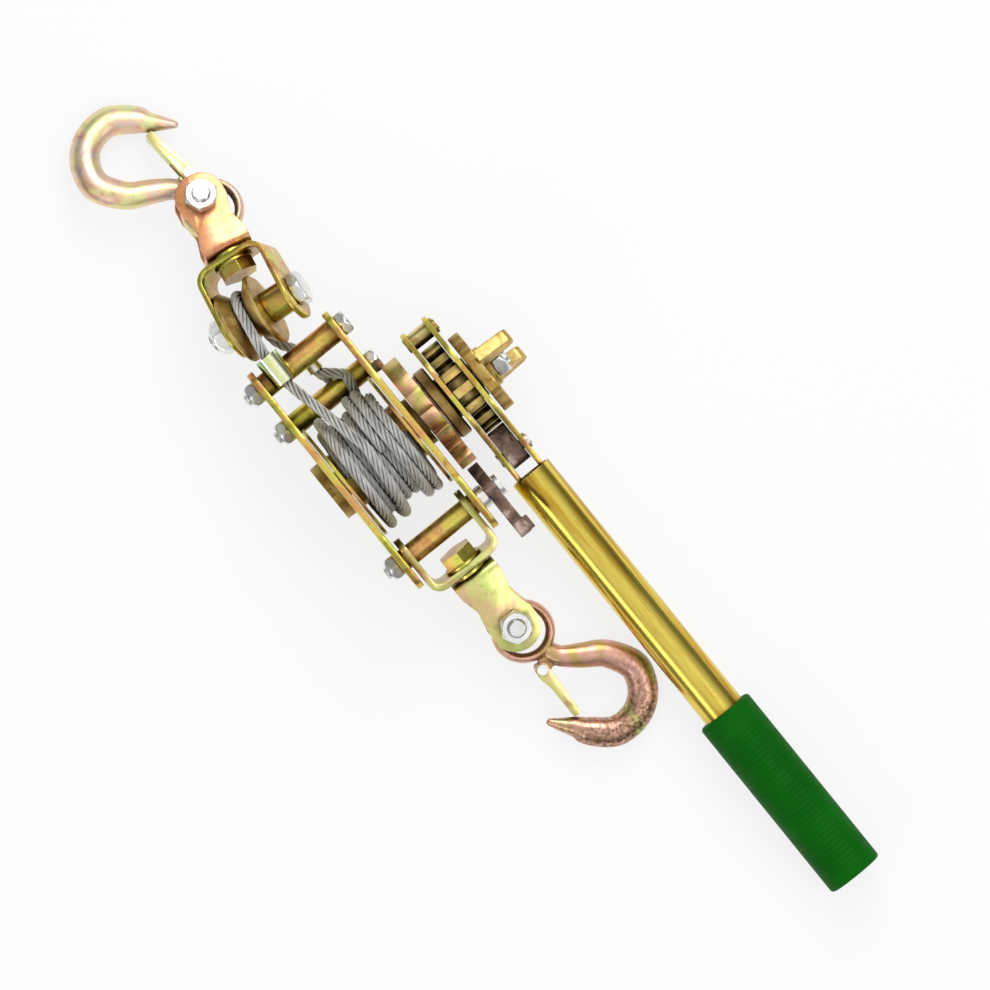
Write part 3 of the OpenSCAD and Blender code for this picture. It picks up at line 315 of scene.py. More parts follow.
class Finish:
    """A node material whose surface is a Principled shader, with short names for its nodes."""

    def __init__(self, name, metallic, roughness):
        self.material = bpy.data.materials.new(name)
        self.material.use_nodes = True
        self.tree = self.material.node_tree
        self.shader = self.tree.nodes["Principled BSDF"]
        self.shader.inputs["Metallic"].default_value = metallic
        self.shader.inputs["Roughness"].default_value = roughness
        self.place = self.tree.nodes.new("ShaderNodeTexCoord").outputs["Object"]

    def link(self, output, target):
        self.tree.links.new(output, target)

    def stretched(self, scale):
        node = self.tree.nodes.new("ShaderNodeMapping")
        node.inputs["Scale"].default_value = scale
        self.link(self.place, node.inputs["Vector"])
        return node.outputs["Vector"]

    def noise(self, scale, detail=3.0, warp=0.0, vector=None):
        node = self.tree.nodes.new("ShaderNodeTexNoise")
        node.inputs["Scale"].default_value = scale
        node.inputs["Detail"].default_value = detail
        node.inputs["Distortion"].default_value = warp
        self.link(vector or self.place, node.inputs["Vector"])
        return node.outputs["Fac"]

    def ramp(self, value, stops):
        node = self.tree.nodes.new("ShaderNodeValToRGB")
        points = node.color_ramp.elements
        while len(points) < len(stops):
            points.new(0.5)
        for point, (at, colour) in zip(points, stops):
            point.position = at
            point.color = (*colour, 1.0)
        self.link(value, node.inputs["Fac"])
        return node.outputs["Color"]

    def level(self, value, low, high, to_low, to_high):
        node = self.tree.nodes.new("ShaderNodeMapRange")
        for key, number in zip(("From Min", "From Max", "To Min", "To Max"), (low, high, to_low, to_high)):
            node.inputs[key].default_value = number
        self.link(value, node.inputs["Value"])
        return node.outputs["Result"]

    def mix(self, factor, a, b, how="MIX"):
        node = self.tree.nodes.new("ShaderNodeMix")
        node.data_type = "RGBA"
        node.blend_type = how
        for socket, value in ((node.inputs[0], factor), (node.inputs[6], a), (node.inputs[7], b)):
            if isinstance(value, bpy.types.NodeSocket):
                self.link(value, socket)
            elif isinstance(value, (int, float)):
                socket.default_value = value
            else:
                socket.default_value = (*value, 1.0)
        return node.outputs[2]

    def hollows(self, distance):
        """White in the open and dark where other surfaces stand close: the mask for painted shade."""
        node = self.tree.nodes.new("ShaderNodeAmbientOcclusion")
        node.samples = 6
        node.inputs["Distance"].default_value = distance * MM
        return node.outputs["AO"]

    def edges(self, radius):
        """1 on flat areas and lower along edges, the mask for painted highlights, and a normal that rounds
        those edges by radius.
        """
        bevel = self.tree.nodes.new("ShaderNodeBevel")
        bevel.samples = 4
        bevel.inputs["Radius"].default_value = radius * MM
        geometry = self.tree.nodes.new("ShaderNodeNewGeometry")
        dot = self.tree.nodes.new("ShaderNodeVectorMath")
        dot.operation = "DOT_PRODUCT"
        self.link(bevel.outputs["Normal"], dot.inputs[0])
        self.link(geometry.outputs["Normal"], dot.inputs[1])
        return dot.outputs["Value"], bevel.outputs["Normal"]

    def bump(self, height, depth, strength=1.0, normal=None):
        node = self.tree.nodes.new("ShaderNodeBump")
        node.inputs["Strength"].default_value = strength
        node.inputs["Distance"].default_value = depth * MM
        self.link(height, node.inputs["Height"])
        if normal:
            self.link(normal, node.inputs["Normal"])
        return node.outputs["Normal"]

    def set(self, key, output):
        self.link(output, self.shader.inputs[key])


def plated(name, stops, scale, rough=(0.22, 0.38), grain=0.02, warp=1.0, stretch=None, hollow=14.0,
           shade_colour=(0.10, 0.040, 0.008), edge_highlight_colour=(0.90, 0.80, 0.36),
           depth=0.75, hollow_ends=(0.35, 0.9)):
    """Passivated zinc: clouds of interference colour, with painted shade in the hollows and a painted
    highlight on the edges.
    """
    f = Finish(name, 1.0, 0.3)
    clouds = f.noise(scale, 2.5, warp, f.stretched(stretch) if stretch else None)
    fine = f.noise(scale * 7, 4.0, 0.4, f.stretched(stretch) if stretch else None)
    value = f.tree.nodes.new("ShaderNodeMix")
    value.inputs[0].default_value = 0.25
    f.link(clouds, value.inputs[2])
    f.link(fine, value.inputs[3])
    colour = f.ramp(value.outputs[0], stops)
    stains = f.level(f.noise(scale * 2.3, 5.0, 1.5), 0.56, 0.72, 0.0, 0.6)
    colour = f.mix(stains, colour, f.mix(1.0, colour, (0.50, 0.30, 0.14), "MULTIPLY"))
    # Painted shade: the colour darkens towards the shade colour where the AO node finds other surfaces close
    # by; hollow is its reach and depth its strength
    open_air = f.level(f.hollows(hollow), *hollow_ends, 0.0, 1.0)
    colour = f.mix(open_air, f.mix(depth, colour, shade_colour), colour)
    # Painted highlight: the edges that the bevel node finds are tinted with the edge highlight colour
    edge, rounded = f.edges(0.45)
    colour = f.mix(f.level(edge, 0.999, 0.9, 0.0, 0.5), colour, edge_highlight_colour)
    f.set("Base Color", colour)
    f.set("Roughness", f.level(f.noise(scale * 4, 4.0), 0.3, 0.7, *rough))
    f.set("Normal", f.bump(f.noise(1400, 2.0), grain, 0.6, rounded))
    return f.material


ZINC_STOPS = [(0.34, (0.56, 0.60, 0.09)), (0.44, (0.74, 0.66, 0.13)), (0.52, (0.80, 0.54, 0.13)),
              (0.60, (0.74, 0.36, 0.15)), (0.68, (0.62, 0.62, 0.12))]
PALE_STOPS = [(0.34, (0.60, 0.72, 0.20)), (0.45, (0.78, 0.78, 0.28)), (0.54, (0.84, 0.72, 0.30)),
              (0.62, (0.84, 0.56, 0.34)), (0.70, (0.66, 0.74, 0.24))]
BLUSH_STOPS = [(0.34, (0.74, 0.62, 0.18)), (0.44, (0.80, 0.40, 0.15)), (0.56, (0.78, 0.34, 0.20)),
               (0.68, (0.80, 0.60, 0.24))]
PASTEL_STOPS = [(0.34, (0.66, 0.84, 0.46)), (0.43, (0.90, 0.84, 0.42)), (0.50, (0.92, 0.62, 0.44)),
                (0.57, (0.84, 0.66, 0.58)), (0.66, (0.88, 0.80, 0.40))]
RAINBOW_STOPS = [(0.36, (0.14, 0.34, 0.36)), (0.43, (0.46, 0.84, 0.26)), (0.49, (0.94, 0.92, 0.36)),
                 (0.54, (0.97, 0.97, 0.82)), (0.60, (0.66, 0.88, 0.42)), (0.67, (0.70, 0.34, 0.30))]
RATCHET_STOPS = [(0.34, (0.60, 0.60, 0.14)), (0.44, (0.74, 0.50, 0.24)), (0.52, (0.76, 0.36, 0.26)),
                 (0.60, (0.74, 0.62, 0.20)), (0.68, (0.60, 0.30, 0.12))]
TUBE_STOPS = [(0.30, (0.30, 0.15, 0.02)), (0.40, (0.66, 0.42, 0.05)), (0.50, (0.84, 0.68, 0.13)),
              (0.60, (0.68, 0.44, 0.05)), (0.70, (0.40, 0.42, 0.04))]
COPPER_STOPS = [(0.34, (0.60, 0.62, 0.24)), (0.44, (0.76, 0.44, 0.30)), (0.54, (0.78, 0.44, 0.36)),
                (0.64, (0.62, 0.42, 0.16))]
CAST_STOPS = [(0.32, (0.36, 0.20, 0.045)), (0.46, (0.58, 0.39, 0.11)), (0.60, (0.72, 0.54, 0.20)),
              (0.72, (0.46, 0.29, 0.08))]
FORGED_STOPS = [(0.36, (0.06, 0.04, 0.03)), (0.5, (0.24, 0.16, 0.12)), (0.60, (0.62, 0.49, 0.42))]
DRIVE_STOPS = [(0.34, (0.62, 0.44, 0.10)), (0.50, (0.86, 0.70, 0.26)), (0.64, (0.70, 0.46, 0.14))]


def bright_plating():
    f = Finish("bright_plating", 1.0, 0.24)
    f.set("Base Color", f.ramp(f.noise(60, 3.0), [(0.3, (0.74, 0.74, 0.73)), (0.6, (0.92, 0.92, 0.90))]))
    f.set("Roughness", f.level(f.noise(300, 3.0), 0.3, 0.7, 0.24, 0.38))
    f.set("Normal", f.bump(f.noise(900, 2.0), 0.02, 0.5, f.edges(0.3)[1]))
    return f.material


def forged_steel():
    f = Finish("forged_steel", 0.85, 0.45)
    clouds = f.noise(70, 5.0, 0.5)
    colour = f.ramp(clouds, FORGED_STOPS)
    f.set("Base Color", colour)
    f.set("Roughness", f.level(clouds, 0.3, 0.7, 0.38, 0.6))
    f.set("Normal", f.bump(f.noise(420, 4.0), 0.2, 0.9, f.edges(0.5)[1]))
    return f.material


def copper_forging():
    """Pink copper plating with a dark, grained patina on the outer bend, and painted shade in the hollows."""
    f = Finish("copper_forging", 1.0, 0.34)
    colour = f.ramp(f.noise(32, 3.0, 1.0), COPPER_STOPS)
    patina = f.level(f.noise(520, 6.0, 0.3), 0.40, 0.62, 0.15, 0.95)
    split = f.tree.nodes.new("ShaderNodeSeparateXYZ")
    f.link(f.place, split.inputs[0])
    bend = f.level(split.outputs["X"], 0.110, 0.156, 0.1, 1.0)
    both = f.tree.nodes.new("ShaderNodeMath")
    both.operation = "MULTIPLY"
    f.link(patina, both.inputs[0])
    f.link(bend, both.inputs[1])
    colour = f.mix(both.outputs[0], colour, (0.13, 0.08, 0.03))
    # Painted shade: darker brown where the AO node finds other surfaces close by
    open_air = f.level(f.hollows(16), 0.3, 0.9, 0.0, 1.0)
    colour = f.mix(open_air, f.mix(0.7, colour, (0.25, 0.1, 0.04), "MULTIPLY"), colour)
    f.set("Base Color", colour)
    f.set("Roughness", f.level(f.noise(150, 4.0), 0.3, 0.7, 0.26, 0.46))
    f.set("Normal", f.bump(f.noise(360, 4.0), 0.10, 0.7))
    return f.material


def wire_strands():
    """Galvanised wires: fine lines of painted shade in the grooves between the wires that cross each strand,
    and painted shade where strands and turns stand close.
    """
    f = Finish("wire_strands", 0.62, 0.36)
    uv = f.tree.nodes.new("ShaderNodeUVMap")
    uv.uv_map = "lay"
    wave = f.tree.nodes.new("ShaderNodeTexWave")
    wave.bands_direction = "X"
    wave.inputs["Scale"].default_value = 1.0
    wave.inputs["Distortion"].default_value = 0.0
    f.link(uv.outputs["UV"], wave.inputs["Vector"])
    colour = f.ramp(f.noise(130, 3.0), [(0.3, (0.70, 0.69, 0.66)), (0.6, (0.98, 0.98, 0.95))])
    # Painted shade in the grooves between the wires
    colour = f.mix(f.level(wave.outputs["Fac"], 0.0, 0.40, 0.6, 0.0), colour, (0.09, 0.085, 0.08))
    # Painted shade, nearly black, where strands and turns stand close
    colour = f.mix(f.level(f.hollows(3), 0.15, 0.65, 0.0, 1.0), (0.02, 0.018, 0.016), colour)
    f.set("Base Color", colour)
    f.set("Normal", f.bump(wave.outputs["Fac"], 0.25, 1.0))
    return f.material


def moulded_rubber(colour):
    f = Finish("moulded_rubber", 0.0, 0.5)
    light = tuple(min(1.0, c * 1.35) for c in colour)
    f.set("Base Color", f.ramp(f.noise(45, 4.0), [(0.3, colour), (0.75, light)]))
    f.set("Roughness", f.level(f.noise(220, 3.0), 0.3, 0.7, 0.5, 0.66))
    f.shader.inputs["Specular IOR Level"].default_value = 0.1
    f.set("Normal", f.bump(f.noise(700, 3.0), 0.04, 0.6))
    return f.material


_finishes = {}


def finish(name):
    """Each finish is made once, when a piece first asks for it."""
    if name not in _finishes:
        makers = {
            "zinc": lambda: plated("yellow_zinc", ZINC_STOPS, 34),
            "pale": lambda: plated("pale_zinc", PALE_STOPS, 30),
            "blush": lambda: plated("blush_zinc", BLUSH_STOPS, 30),
            "pastel": lambda: plated("pastel_zinc", PASTEL_STOPS, 26, warp=1.6, rough=(0.38, 0.52)),
            "rainbow": lambda: plated("sleeve_zinc", RAINBOW_STOPS, 1.0, stretch=(6, 150, 150), warp=0.2,
                                      rough=(0.16, 0.26)),
            "ratchet": lambda: plated("ratchet_zinc", RATCHET_STOPS, 40, rough=(0.26, 0.42)),
            "tube": lambda: plated("drawn_tube_zinc", TUBE_STOPS, 1.0, stretch=(4, 90, 90),
                                   rough=(0.16, 0.26), warp=0.3, hollow=6),
            # The cast finish paints a dimmer highlight along its edges
            "cast": lambda: plated("cast_gold", CAST_STOPS, 60, rough=(0.32, 0.5), grain=0.12,
                                   edge_highlight_colour=(0.62, 0.48, 0.18)),
            # Deep painted shade, nearly black, in the gaps between the ratchet's teeth
            "drive": lambda: plated("drive_gold", DRIVE_STOPS, 50, rough=(0.28, 0.42), grain=0.06, hollow=6,
                                    shade_colour=(0.010, 0.006, 0.002), depth=0.97, hollow_ends=(0.5, 0.85)),
            "bright": bright_plating,
            "forged": forged_steel,
            "copper": copper_forging,
            "wire": wire_strands,
            "rubber": lambda: moulded_rubber(tuple(bpy.context.scene.winch_grip.colour)),
        }
        _finishes[name] = makers[name]()
    return _finishes[name]


def coat(finish_name, *nodes):
    """Gives frame nodes that are already the right shape their finish."""
    for node in nodes:
        materials = NODES[node].data.materials
        materials.clear()
        materials.append(finish(finish_name))


# ---- Rope ------------------------------------------------------------------------------------------


def smooth_path(points, steps):
    """A curve through points, as the frame's own rope has it."""
    p = [np.array(q, float) for q in points]
    last = len(p) - 1
    out = []
    for i in range(last):
        a, b, c, d = p[max(i - 1, 0)], p[i], p[i + 1], p[min(i + 2, last)]
        for s in range(steps):
            t = s / steps
            out.append(0.5 * (2 * b + (c - a) * t + (2 * a - 5 * b + 4 * c - d) * t * t
                              + (3 * b - a - 3 * c + d) * t ** 3))
    return out + [p[last]]


def polar(radius, degrees):
    a = math.radians(degrees)
    return radius * math.cos(a), radius * math.sin(a)


def from_block(x, y, z):
    """A place on the sheave, seen from the axle."""
    return tuple((IN_BLOCK @ Vector((x, y, z))) - AXLE)


GUIDE_X = TOP_SPACER[0] - 3.5
GUIDE_Y, GUIDE_Z, GUIDE_LEN = -13.5, 6.0 + 7.0 + 7.0 - 0.6, 18.0
FERRULE_AT = np.array([-64.0, 3.5, -15.0])
FERRULE_LEN = 13.0
MIDDLE_SPACER_R = 6.5
# How far a run reaches into the next one, where they meet on the sheave
LAP = 0.1
STRAND_SIDES = 6
DRUM_TURNS = 6
TURN_STEPS = 48
# One band of a wave texture at scale 1
WAVE_BAND = 0.314


def lead_points():
    mouth = (GUIDE_X + GUIDE_LEN / 2, GUIDE_Z)
    lead_angle = math.degrees(math.atan2(mouth[1], mouth[0])
                              - math.acos(LAST_TURN_R / math.hypot(*mouth)))
    # One turn beside the left flange, then the last one, which crosses towards the middle
    start, side = -110.0, (-12.7, -2.0)
    laid = []
    for i in range(-36, 1):
        t = i / 36
        x, z = polar(LAST_TURN_R - 5 * max(0.0, -t - 0.85) / 0.15, start + 360 * t)
        laid.append((x, side[0] + 6.2 * t, z))
    for i in range(1, 23):
        t = i / 22
        x, z = polar(LAST_TURN_R, start + (lead_angle - start) * t)
        laid.append((x, side[0] + (side[1] - side[0]) * t, z))
    off = laid[-1]
    mid = ((off[0] + mouth[0]) / 2, (side[1] + GUIDE_Y) / 2, (off[2] + mouth[1]) / 2)
    run = smooth_path([off, mid, (mouth[0], GUIDE_Y, GUIDE_Z), (GUIDE_X - GUIDE_LEN / 2, GUIDE_Y, GUIDE_Z),
                       from_block(15.5, 0, SHEAVE_ROPE_R), from_block(8, 0, SHEAVE_ROPE_R),
                       from_block(-LAP, 0, SHEAVE_ROPE_R)], 3)
    return laid[:-1] + run


def return_points():
    apart, leg_end = ROPE_R + 0.25, FERRULE_LEN / 2 + 1
    up, out = np.array([0, 0, apart]), np.array([leg_end, 0, 0])
    mid_at = np.array([MIDDLE_SPACER[0], 0, MIDDLE_SPACER[1]])
    eye_r = MIDDLE_SPACER_R + ROPE_R + 0.2
    high, low = FERRULE_AT + out + up - mid_at, FERRULE_AT + out - up - mid_at

    def reach(p):
        return math.degrees(math.acos(eye_r / math.hypot(p[0], p[2])))
    first = math.degrees(math.atan2(high[2], high[0])) - reach(high)
    last = math.degrees(math.atan2(low[2], low[0])) + reach(low)
    eye = []
    for i in range(13):
        t = i / 12
        x, z = polar(eye_r, first + (last - first) * t)
        eye.append((x + MIDDLE_SPACER[0], 15 - 8 * t, z + MIDDLE_SPACER[1]))
    run_in = smooth_path([from_block(-LAP, 0, -SHEAVE_ROPE_R), from_block(6, 0, -SHEAVE_ROPE_R),
                          from_block(16, 3, -SHEAVE_ROPE_R - 0.5), FERRULE_AT - out + up], 4)
    return run_in + [FERRULE_AT + out + up] + eye + [FERRULE_AT + out - up,
                                                     FERRULE_AT - out - up - np.array([3, 0, 0])]


def turn_points():
    """Half a turn round the side of the sheave that faces the hook."""
    return [from_block(-SHEAVE_ROPE_R * math.sin(a), 0, SHEAVE_ROPE_R * math.cos(a))
            for a in np.linspace(0, math.pi, 25)]


def wound_points(radius, turns, first, last, lean, dive=0.0):
    """Turns laid from first to last along the drum. They lean over the top, as loosely wound rope does;
    dive is how far each end drops between the turns below."""
    points = []
    for i in range(int(turns * TURN_STEPS) + 1):
        t = i / TURN_STEPS
        angle = 90 + 360 * t
        ends = max(0.0, 1 - min(t, turns - t) / 0.18)
        x, z = polar(radius - dive * ends ** 2 + 0.12 * math.sin(8.6 * t), angle)
        y = (first + (last - first) * t / turns + lean * math.cos(math.radians(angle))
             + 0.25 * math.sin(5.3 * t))
        points.append((x, y, z))
    return points


def laid_rope(points, rope, facing=None):
    """A rope of strands twisted round each other along a path; its UV map runs with the wires.

    facing is where the first strand points at the start, and the last value returned is where it points
    at the end."""
    path = np.array([np.array(p, float) for p in points]) + np.array(AXLE)
    step = np.linalg.norm(np.diff(path, axis=0), axis=1)
    run = np.concatenate([[0], np.cumsum(step)])
    count = max(6, int(run[-1] / rope.ring_step))
    at = np.linspace(0, run[-1], count + 1)
    path = np.column_stack([np.interp(at, run, path[:, k]) for k in range(3)])
    for _ in range(3):
        path[1:-1] = (path[:-2] + 2 * path[1:-1] + path[2:]) / 4
    tangent = np.gradient(path, axis=0)
    tangent /= np.linalg.norm(tangent, axis=1)[:, None]
    if facing is None:
        normal = np.cross(tangent[0], [0, 1, 0])
    else:
        normal = facing - tangent[0] * np.dot(facing, tangent[0])
    normal /= np.linalg.norm(normal)
    sides = rope.strands * STRAND_SIDES
    angles = np.linspace(0, 2 * math.pi, sides, endpoint=False)
    strand = 2 * math.pi / rope.strands
    local = (angles + strand / 2) % strand - strand / 2
    # Each strand is a circle that touches the rope's outside and its neighbours
    strand_r = ROPE_R * math.sin(strand / 2) / (1 + math.sin(strand / 2))
    centre = ROPE_R - strand_r
    radius = centre * np.cos(local) + np.sqrt(np.maximum(0, strand_r ** 2 - (centre * np.sin(local)) ** 2))
    rings = []
    for i in range(count + 1):
        normal = normal - tangent[i] * np.dot(normal, tangent[i])
        normal /= np.linalg.norm(normal)
        across = np.cross(tangent[i], normal)
        a = angles + 2 * math.pi * at[i] / rope.lay
        rings.append(path[i] + radius[:, None] * (np.cos(a)[:, None] * normal + np.sin(a)[:, None] * across))
    end = 2 * math.pi * at[-1] / rope.lay
    return loft(rings), (count, sides, at), math.cos(end) * normal + math.sin(end) * across


def rope_object(name, runs, rope, facing=None):
    """One mesh for runs of rope, and where the last one's first strand points at its end."""
    parts = [laid_rope(points, rope, facing) for points in runs]
    obj = make_object(name, [part for part, _, _ in parts], 75)
    layer = obj.data.uv_layers.new(name="lay")
    flat = np.zeros(len(obj.data.loops) * 2)
    polygons = iter(obj.data.polygons)
    base = 0
    for (points, _), (count, sides, at), _ in parts:
        for j in list(range(sides)) * count:
            polygon = next(polygons)
            for loop, vertex in zip(polygon.loop_indices, polygon.vertices):
                ring, side = divmod(vertex - base, sides)
                # u counts the wires, which cross each strand against the lay
                turned = at[ring] / rope.lay * rope.strands * rope.wires
                across = (j if side == j else j + 1) / STRAND_SIDES * rope.wires
                flat[2 * loop:2 * loop + 2] = (turned + across) * WAVE_BAND, at[ring]
        # The two ends have no wires
        for _ in range(2):
            next(polygons)
        base += len(points)
    layer.data.foreach_set("uv", flat)
    return obj, parts[-1][2]


# ---- Hooks -----------------------------------------------------------------------------------------


def hook_form(name, place):
    """A forged eye hook: a swept shank and bowl, a ring for the eye and a lug for the latch."""
    h, m, w, t = HOOK_LEN, BOWL_R + BOWL_W / 2, BOWL_W, BOWL_T
    stations = [(h - 41.5, 0.5, 8, EYE_T - 2), (h - 38, 0, 11, EYE_T - 0.6), (h - 31, -2, 12, EYE_T + 1),
                (h - 22, -0.41 * m, w - 3, t - 3), (h - 12, -0.8 * m, w - 1.5, t - 1.2)]
    stations += [(h + m * math.cos(math.radians(a)), m * math.sin(math.radians(a)), w, t)
                 for a in range(-82, 39, 24)]
    stations += [(h + 0.3 * m, 0.95 * m, w - 1.6, t - 1.5), (h + 1, 1.04 * m, w - 5, t - 4),
                 (h - 6, 1.2 * m, w - 9, t - 8), (h - 12.5, 1.34 * m, 4.6, 4.6)]
    mid = np.array(smooth_path([(s[0], -s[1], 0) for s in stations], 6))
    size = np.array(smooth_path([(s[2], s[3], 0) for s in stations], 6))
    angles = np.linspace(0, 2 * math.pi, 32, endpoint=False)
    rings = []
    for i in range(len(mid)):
        tangent = mid[min(i + 1, len(mid) - 1)] - mid[max(i - 1, 0)]
        tangent /= np.linalg.norm(tangent)
        across = np.cross([0, 0, 1], tangent)
        rings.append(mid[i] + size[i][0] / 2 * np.cos(angles)[:, None] * across
                     + np.outer(size[i][1] / 2 * np.sin(angles), [0, 0, 1]))
    tip_r = size[-1][0] / 2
    rings += [mid[-1] + (rings[-1] - mid[-1]) * math.cos(a) + tangent * tip_r * math.sin(a)
              for a in (0.5, 0.9, 1.25, 1.5)]
    eye = []
    section = np.linspace(0, 2 * math.pi, 20, endpoint=False)
    for b in np.linspace(0, 2 * math.pi, 72, endpoint=False):
        out = np.array([math.cos(b), math.sin(b), 0])
        eye.append([(EYE_HOLE_R + EYE_RING_W / 2 + EYE_RING_W / 2 * math.cos(a)) * out
                    + np.array([0, 0, EYE_T / 2 * math.sin(a)]) for a in section])
    lug = placed(rod(4.0, -2.5, 2.5, 0.5), shift(LATCH_PIN[0], -LATCH_PIN[1]))
    web = loft([[(LATCH_PIN[0] + sx * 4, -y, sz * 2.5) for sx, sz in ((-1, -1), (1, -1), (1, 1), (-1, 1))]
                for y in (1.0, LATCH_PIN[1])])
    parts = [placed(part, place) for part in (loft(rings), loft(eye, closed=True), lug, web)]
    obj = make_object(name, parts)
    return cast_form(obj, 0.7, 3)


# ---- Settings --------------------------------------------------------------------------------------


class WinchRopeSettings(bpy.types.PropertyGroup):
    """Sizes of the wire rope."""
    strands: bpy.props.IntProperty(name="Strands", description="Strands in the rope", default=6, min=3, max=8)
    lay: bpy.props.FloatProperty(name="Lay", description="Length of one full twist, in mm",
                                 default=30.0, min=10.0)
    wires: bpy.props.IntProperty(name="Wires", description="Wires that show across a strand",
                                 default=5, min=2)
    ring_step: bpy.props.FloatProperty(name="Step", description="Spacing of the mesh rings, in mm",
                                       default=1.0, min=0.3)


class WinchGripSettings(bpy.types.PropertyGroup):
    """Look and ribs of the grip."""
    colour: bpy.props.FloatVectorProperty(name="Colour", description="Colour of the rubber", subtype="COLOR",
                                          size=3, min=0, max=1, default=(0.0006, 0.102, 0.0008))
    rib_pitch: bpy.props.FloatProperty(name="Rib pitch", description="Distance between ribs, in mm",
                                       default=3.0)
    rib_depth: bpy.props.FloatProperty(name="Rib depth", description="Depth between ribs, in mm",
                                       default=0.5)


class WinchStageSettings(bpy.types.PropertyGroup):
    """Light and floor."""
    floor: bpy.props.FloatVectorProperty(name="Floor", description="Colour of the floor", subtype="COLOR",
                                         size=3, min=0, max=1, default=(0.98, 0.98, 0.98))
    glow: bpy.props.FloatProperty(name="Floor glow", description="Share of plain white in the floor",
                                  subtype="FACTOR", min=0, max=1, default=0.82)
    key: bpy.props.FloatProperty(name="Key light", description="Power of the key light", subtype="POWER",
                                 default=10.0)


# ---- Operators -------------------------------------------------------------------------------------


class WINCH_OT_stage(bpy.types.Operator):
    """Adds the floor, the soft studio lights and the camera"""
    bl_idname = "winch.stage"
    bl_label = "Stage and camera"

    def execute(self, context):
        scene = context.scene
        settings = scene.winch_stage
        bpy.ops.mesh.primitive_plane_add(size=8, location=(0, 0, -0.0002))
        floor = context.object
        floor.name = "studio_floor"
        f = Finish("studio_floor", 0.0, 0.9)
        f.shader.inputs["Base Color"].default_value = (*settings.floor, 1)
        f.shader.inputs["Specular IOR Level"].default_value = 0.0
        path = f.tree.nodes.new("ShaderNodeLightPath")
        glow = f.tree.nodes.new("ShaderNodeEmission")
        glow.inputs["Color"].default_value = (*settings.floor, 1)
        share = f.tree.nodes.new("ShaderNodeMixShader")
        total = path.outputs["Is Camera Ray"]
        for kind in ("Is Glossy Ray", "Is Transmission Ray"):
            join = f.tree.nodes.new("ShaderNodeMath")
            join.operation = "MAXIMUM"
            f.link(total, join.inputs[0])
            f.link(path.outputs[kind], join.inputs[1])
            total = join.outputs[0]
        seen = f.tree.nodes.new("ShaderNodeMath")
        seen.operation = "MULTIPLY"
        seen.inputs[1].default_value = settings.glow
        f.link(total, seen.inputs[0])
        f.link(seen.outputs[0], share.inputs[0])
        f.link(f.shader.outputs[0], share.inputs[1])
        f.link(glow.outputs[0], share.inputs[2])
        f.link(share.outputs[0], f.tree.nodes["Material Output"].inputs["Surface"])
        floor.data.materials.append(f.material)

        self.world(scene)
        self.lamp("key", (-0.75, 0.75, 1.1), settings.key, (0.9, 0.9))
        self.lamp("fill", (0.9, 0.5, 1.0), settings.key * 0.35, (0.5, 1.2))
        self.lamp("rim", (0.3, -1.1, 0.8), settings.key * 0.3, (1.2, 0.4))

        camera = bpy.data.objects.new("camera", bpy.data.cameras.new("camera"))
        scene.collection.objects.link(camera)
        right = Vector((0.629, 0.777, 0)).normalized()
        up = Vector((-0.777, 0.629, 0)).normalized()
        height, centre, width = 1.7, Vector((0.0070, 0.0064, 0)), 0.55
        camera.matrix_world = Matrix.Translation(centre + Vector((0, 0, height))) @ Matrix(
            (right, up, Vector((0, 0, 1)))).transposed().to_4x4()
        camera.data.type = "ORTHO"
        camera.data.ortho_scale = width
        scene.camera = camera
        scene.view_settings.view_transform = "Standard"
        return {"FINISHED"}

    def lamp(self, name, place, power, size):
        light = bpy.data.lights.new(name, "AREA")
        light.shape = "RECTANGLE"
        light.size, light.size_y = size
        light.energy = power
        lamp = bpy.data.objects.new(name, light)
        bpy.context.scene.collection.objects.link(lamp)
        lamp.location = place
        lamp.rotation_euler = (-Vector(place)).to_track_quat("-Z", "Y").to_euler()

    def world(self, scene):
        """A soft bright ceiling that darkens towards the horizon."""
        world = bpy.data.worlds.new("studio")
        scene.world = world
        world.use_nodes = True
        tree = world.node_tree
        place = tree.nodes.new("ShaderNodeTexCoord")
        split = tree.nodes.new("ShaderNodeSeparateXYZ")
        ramp = tree.nodes.new("ShaderNodeValToRGB")
        stops = ramp.color_ramp.elements
        stops.new(0.5)
        for stop, (at, grey) in zip(stops, ((0.05, 0.24), (0.42, 0.18), (0.95, 0.85))):
            stop.position, stop.color = at, (grey, grey, grey, 1)
        tree.links.new(place.outputs["Generated"], split.inputs[0])
        tree.links.new(split.outputs["Z"], ramp.inputs["Fac"])
        tree.links.new(ramp.outputs["Color"], tree.nodes["Background"].inputs["Color"])


class WINCH_OT_frame(bpy.types.Operator):
    """Finishes the side plates, spacers, drum and ratchets"""
    bl_idname = "winch.frame"
    bl_label = "Frame and drum"

    def execute(self, context):
        for node, body, width, finish_name in (("frame_plate_left", "frame", 0.5, "zinc"),
                                               ("frame_plate_right", "frame", 0.5, "zinc"),
                                               ("holding_ratchet", "drum", 0.4, "ratchet")):
            piece = broken_edges(node, node + "_part", width)
            seat_piece(piece, body, finish(finish_name), "zinc", node)
        coat("zinc", "frame_spacers", "drum_barrel", "drum_flange_left", "drum_flange_right")
        coat("rainbow", "rope_guide")
        coat("cast", "drum_bearing_left", "drum_bearing_right", "brake_disc")
        coat("drive", "drive_ratchet")
        coat("bright", "holding_pawl_bolt", "rope_ferrule", "drum_shaft")
        coat("forged", "friction_washer")
        return {"FINISHED"}


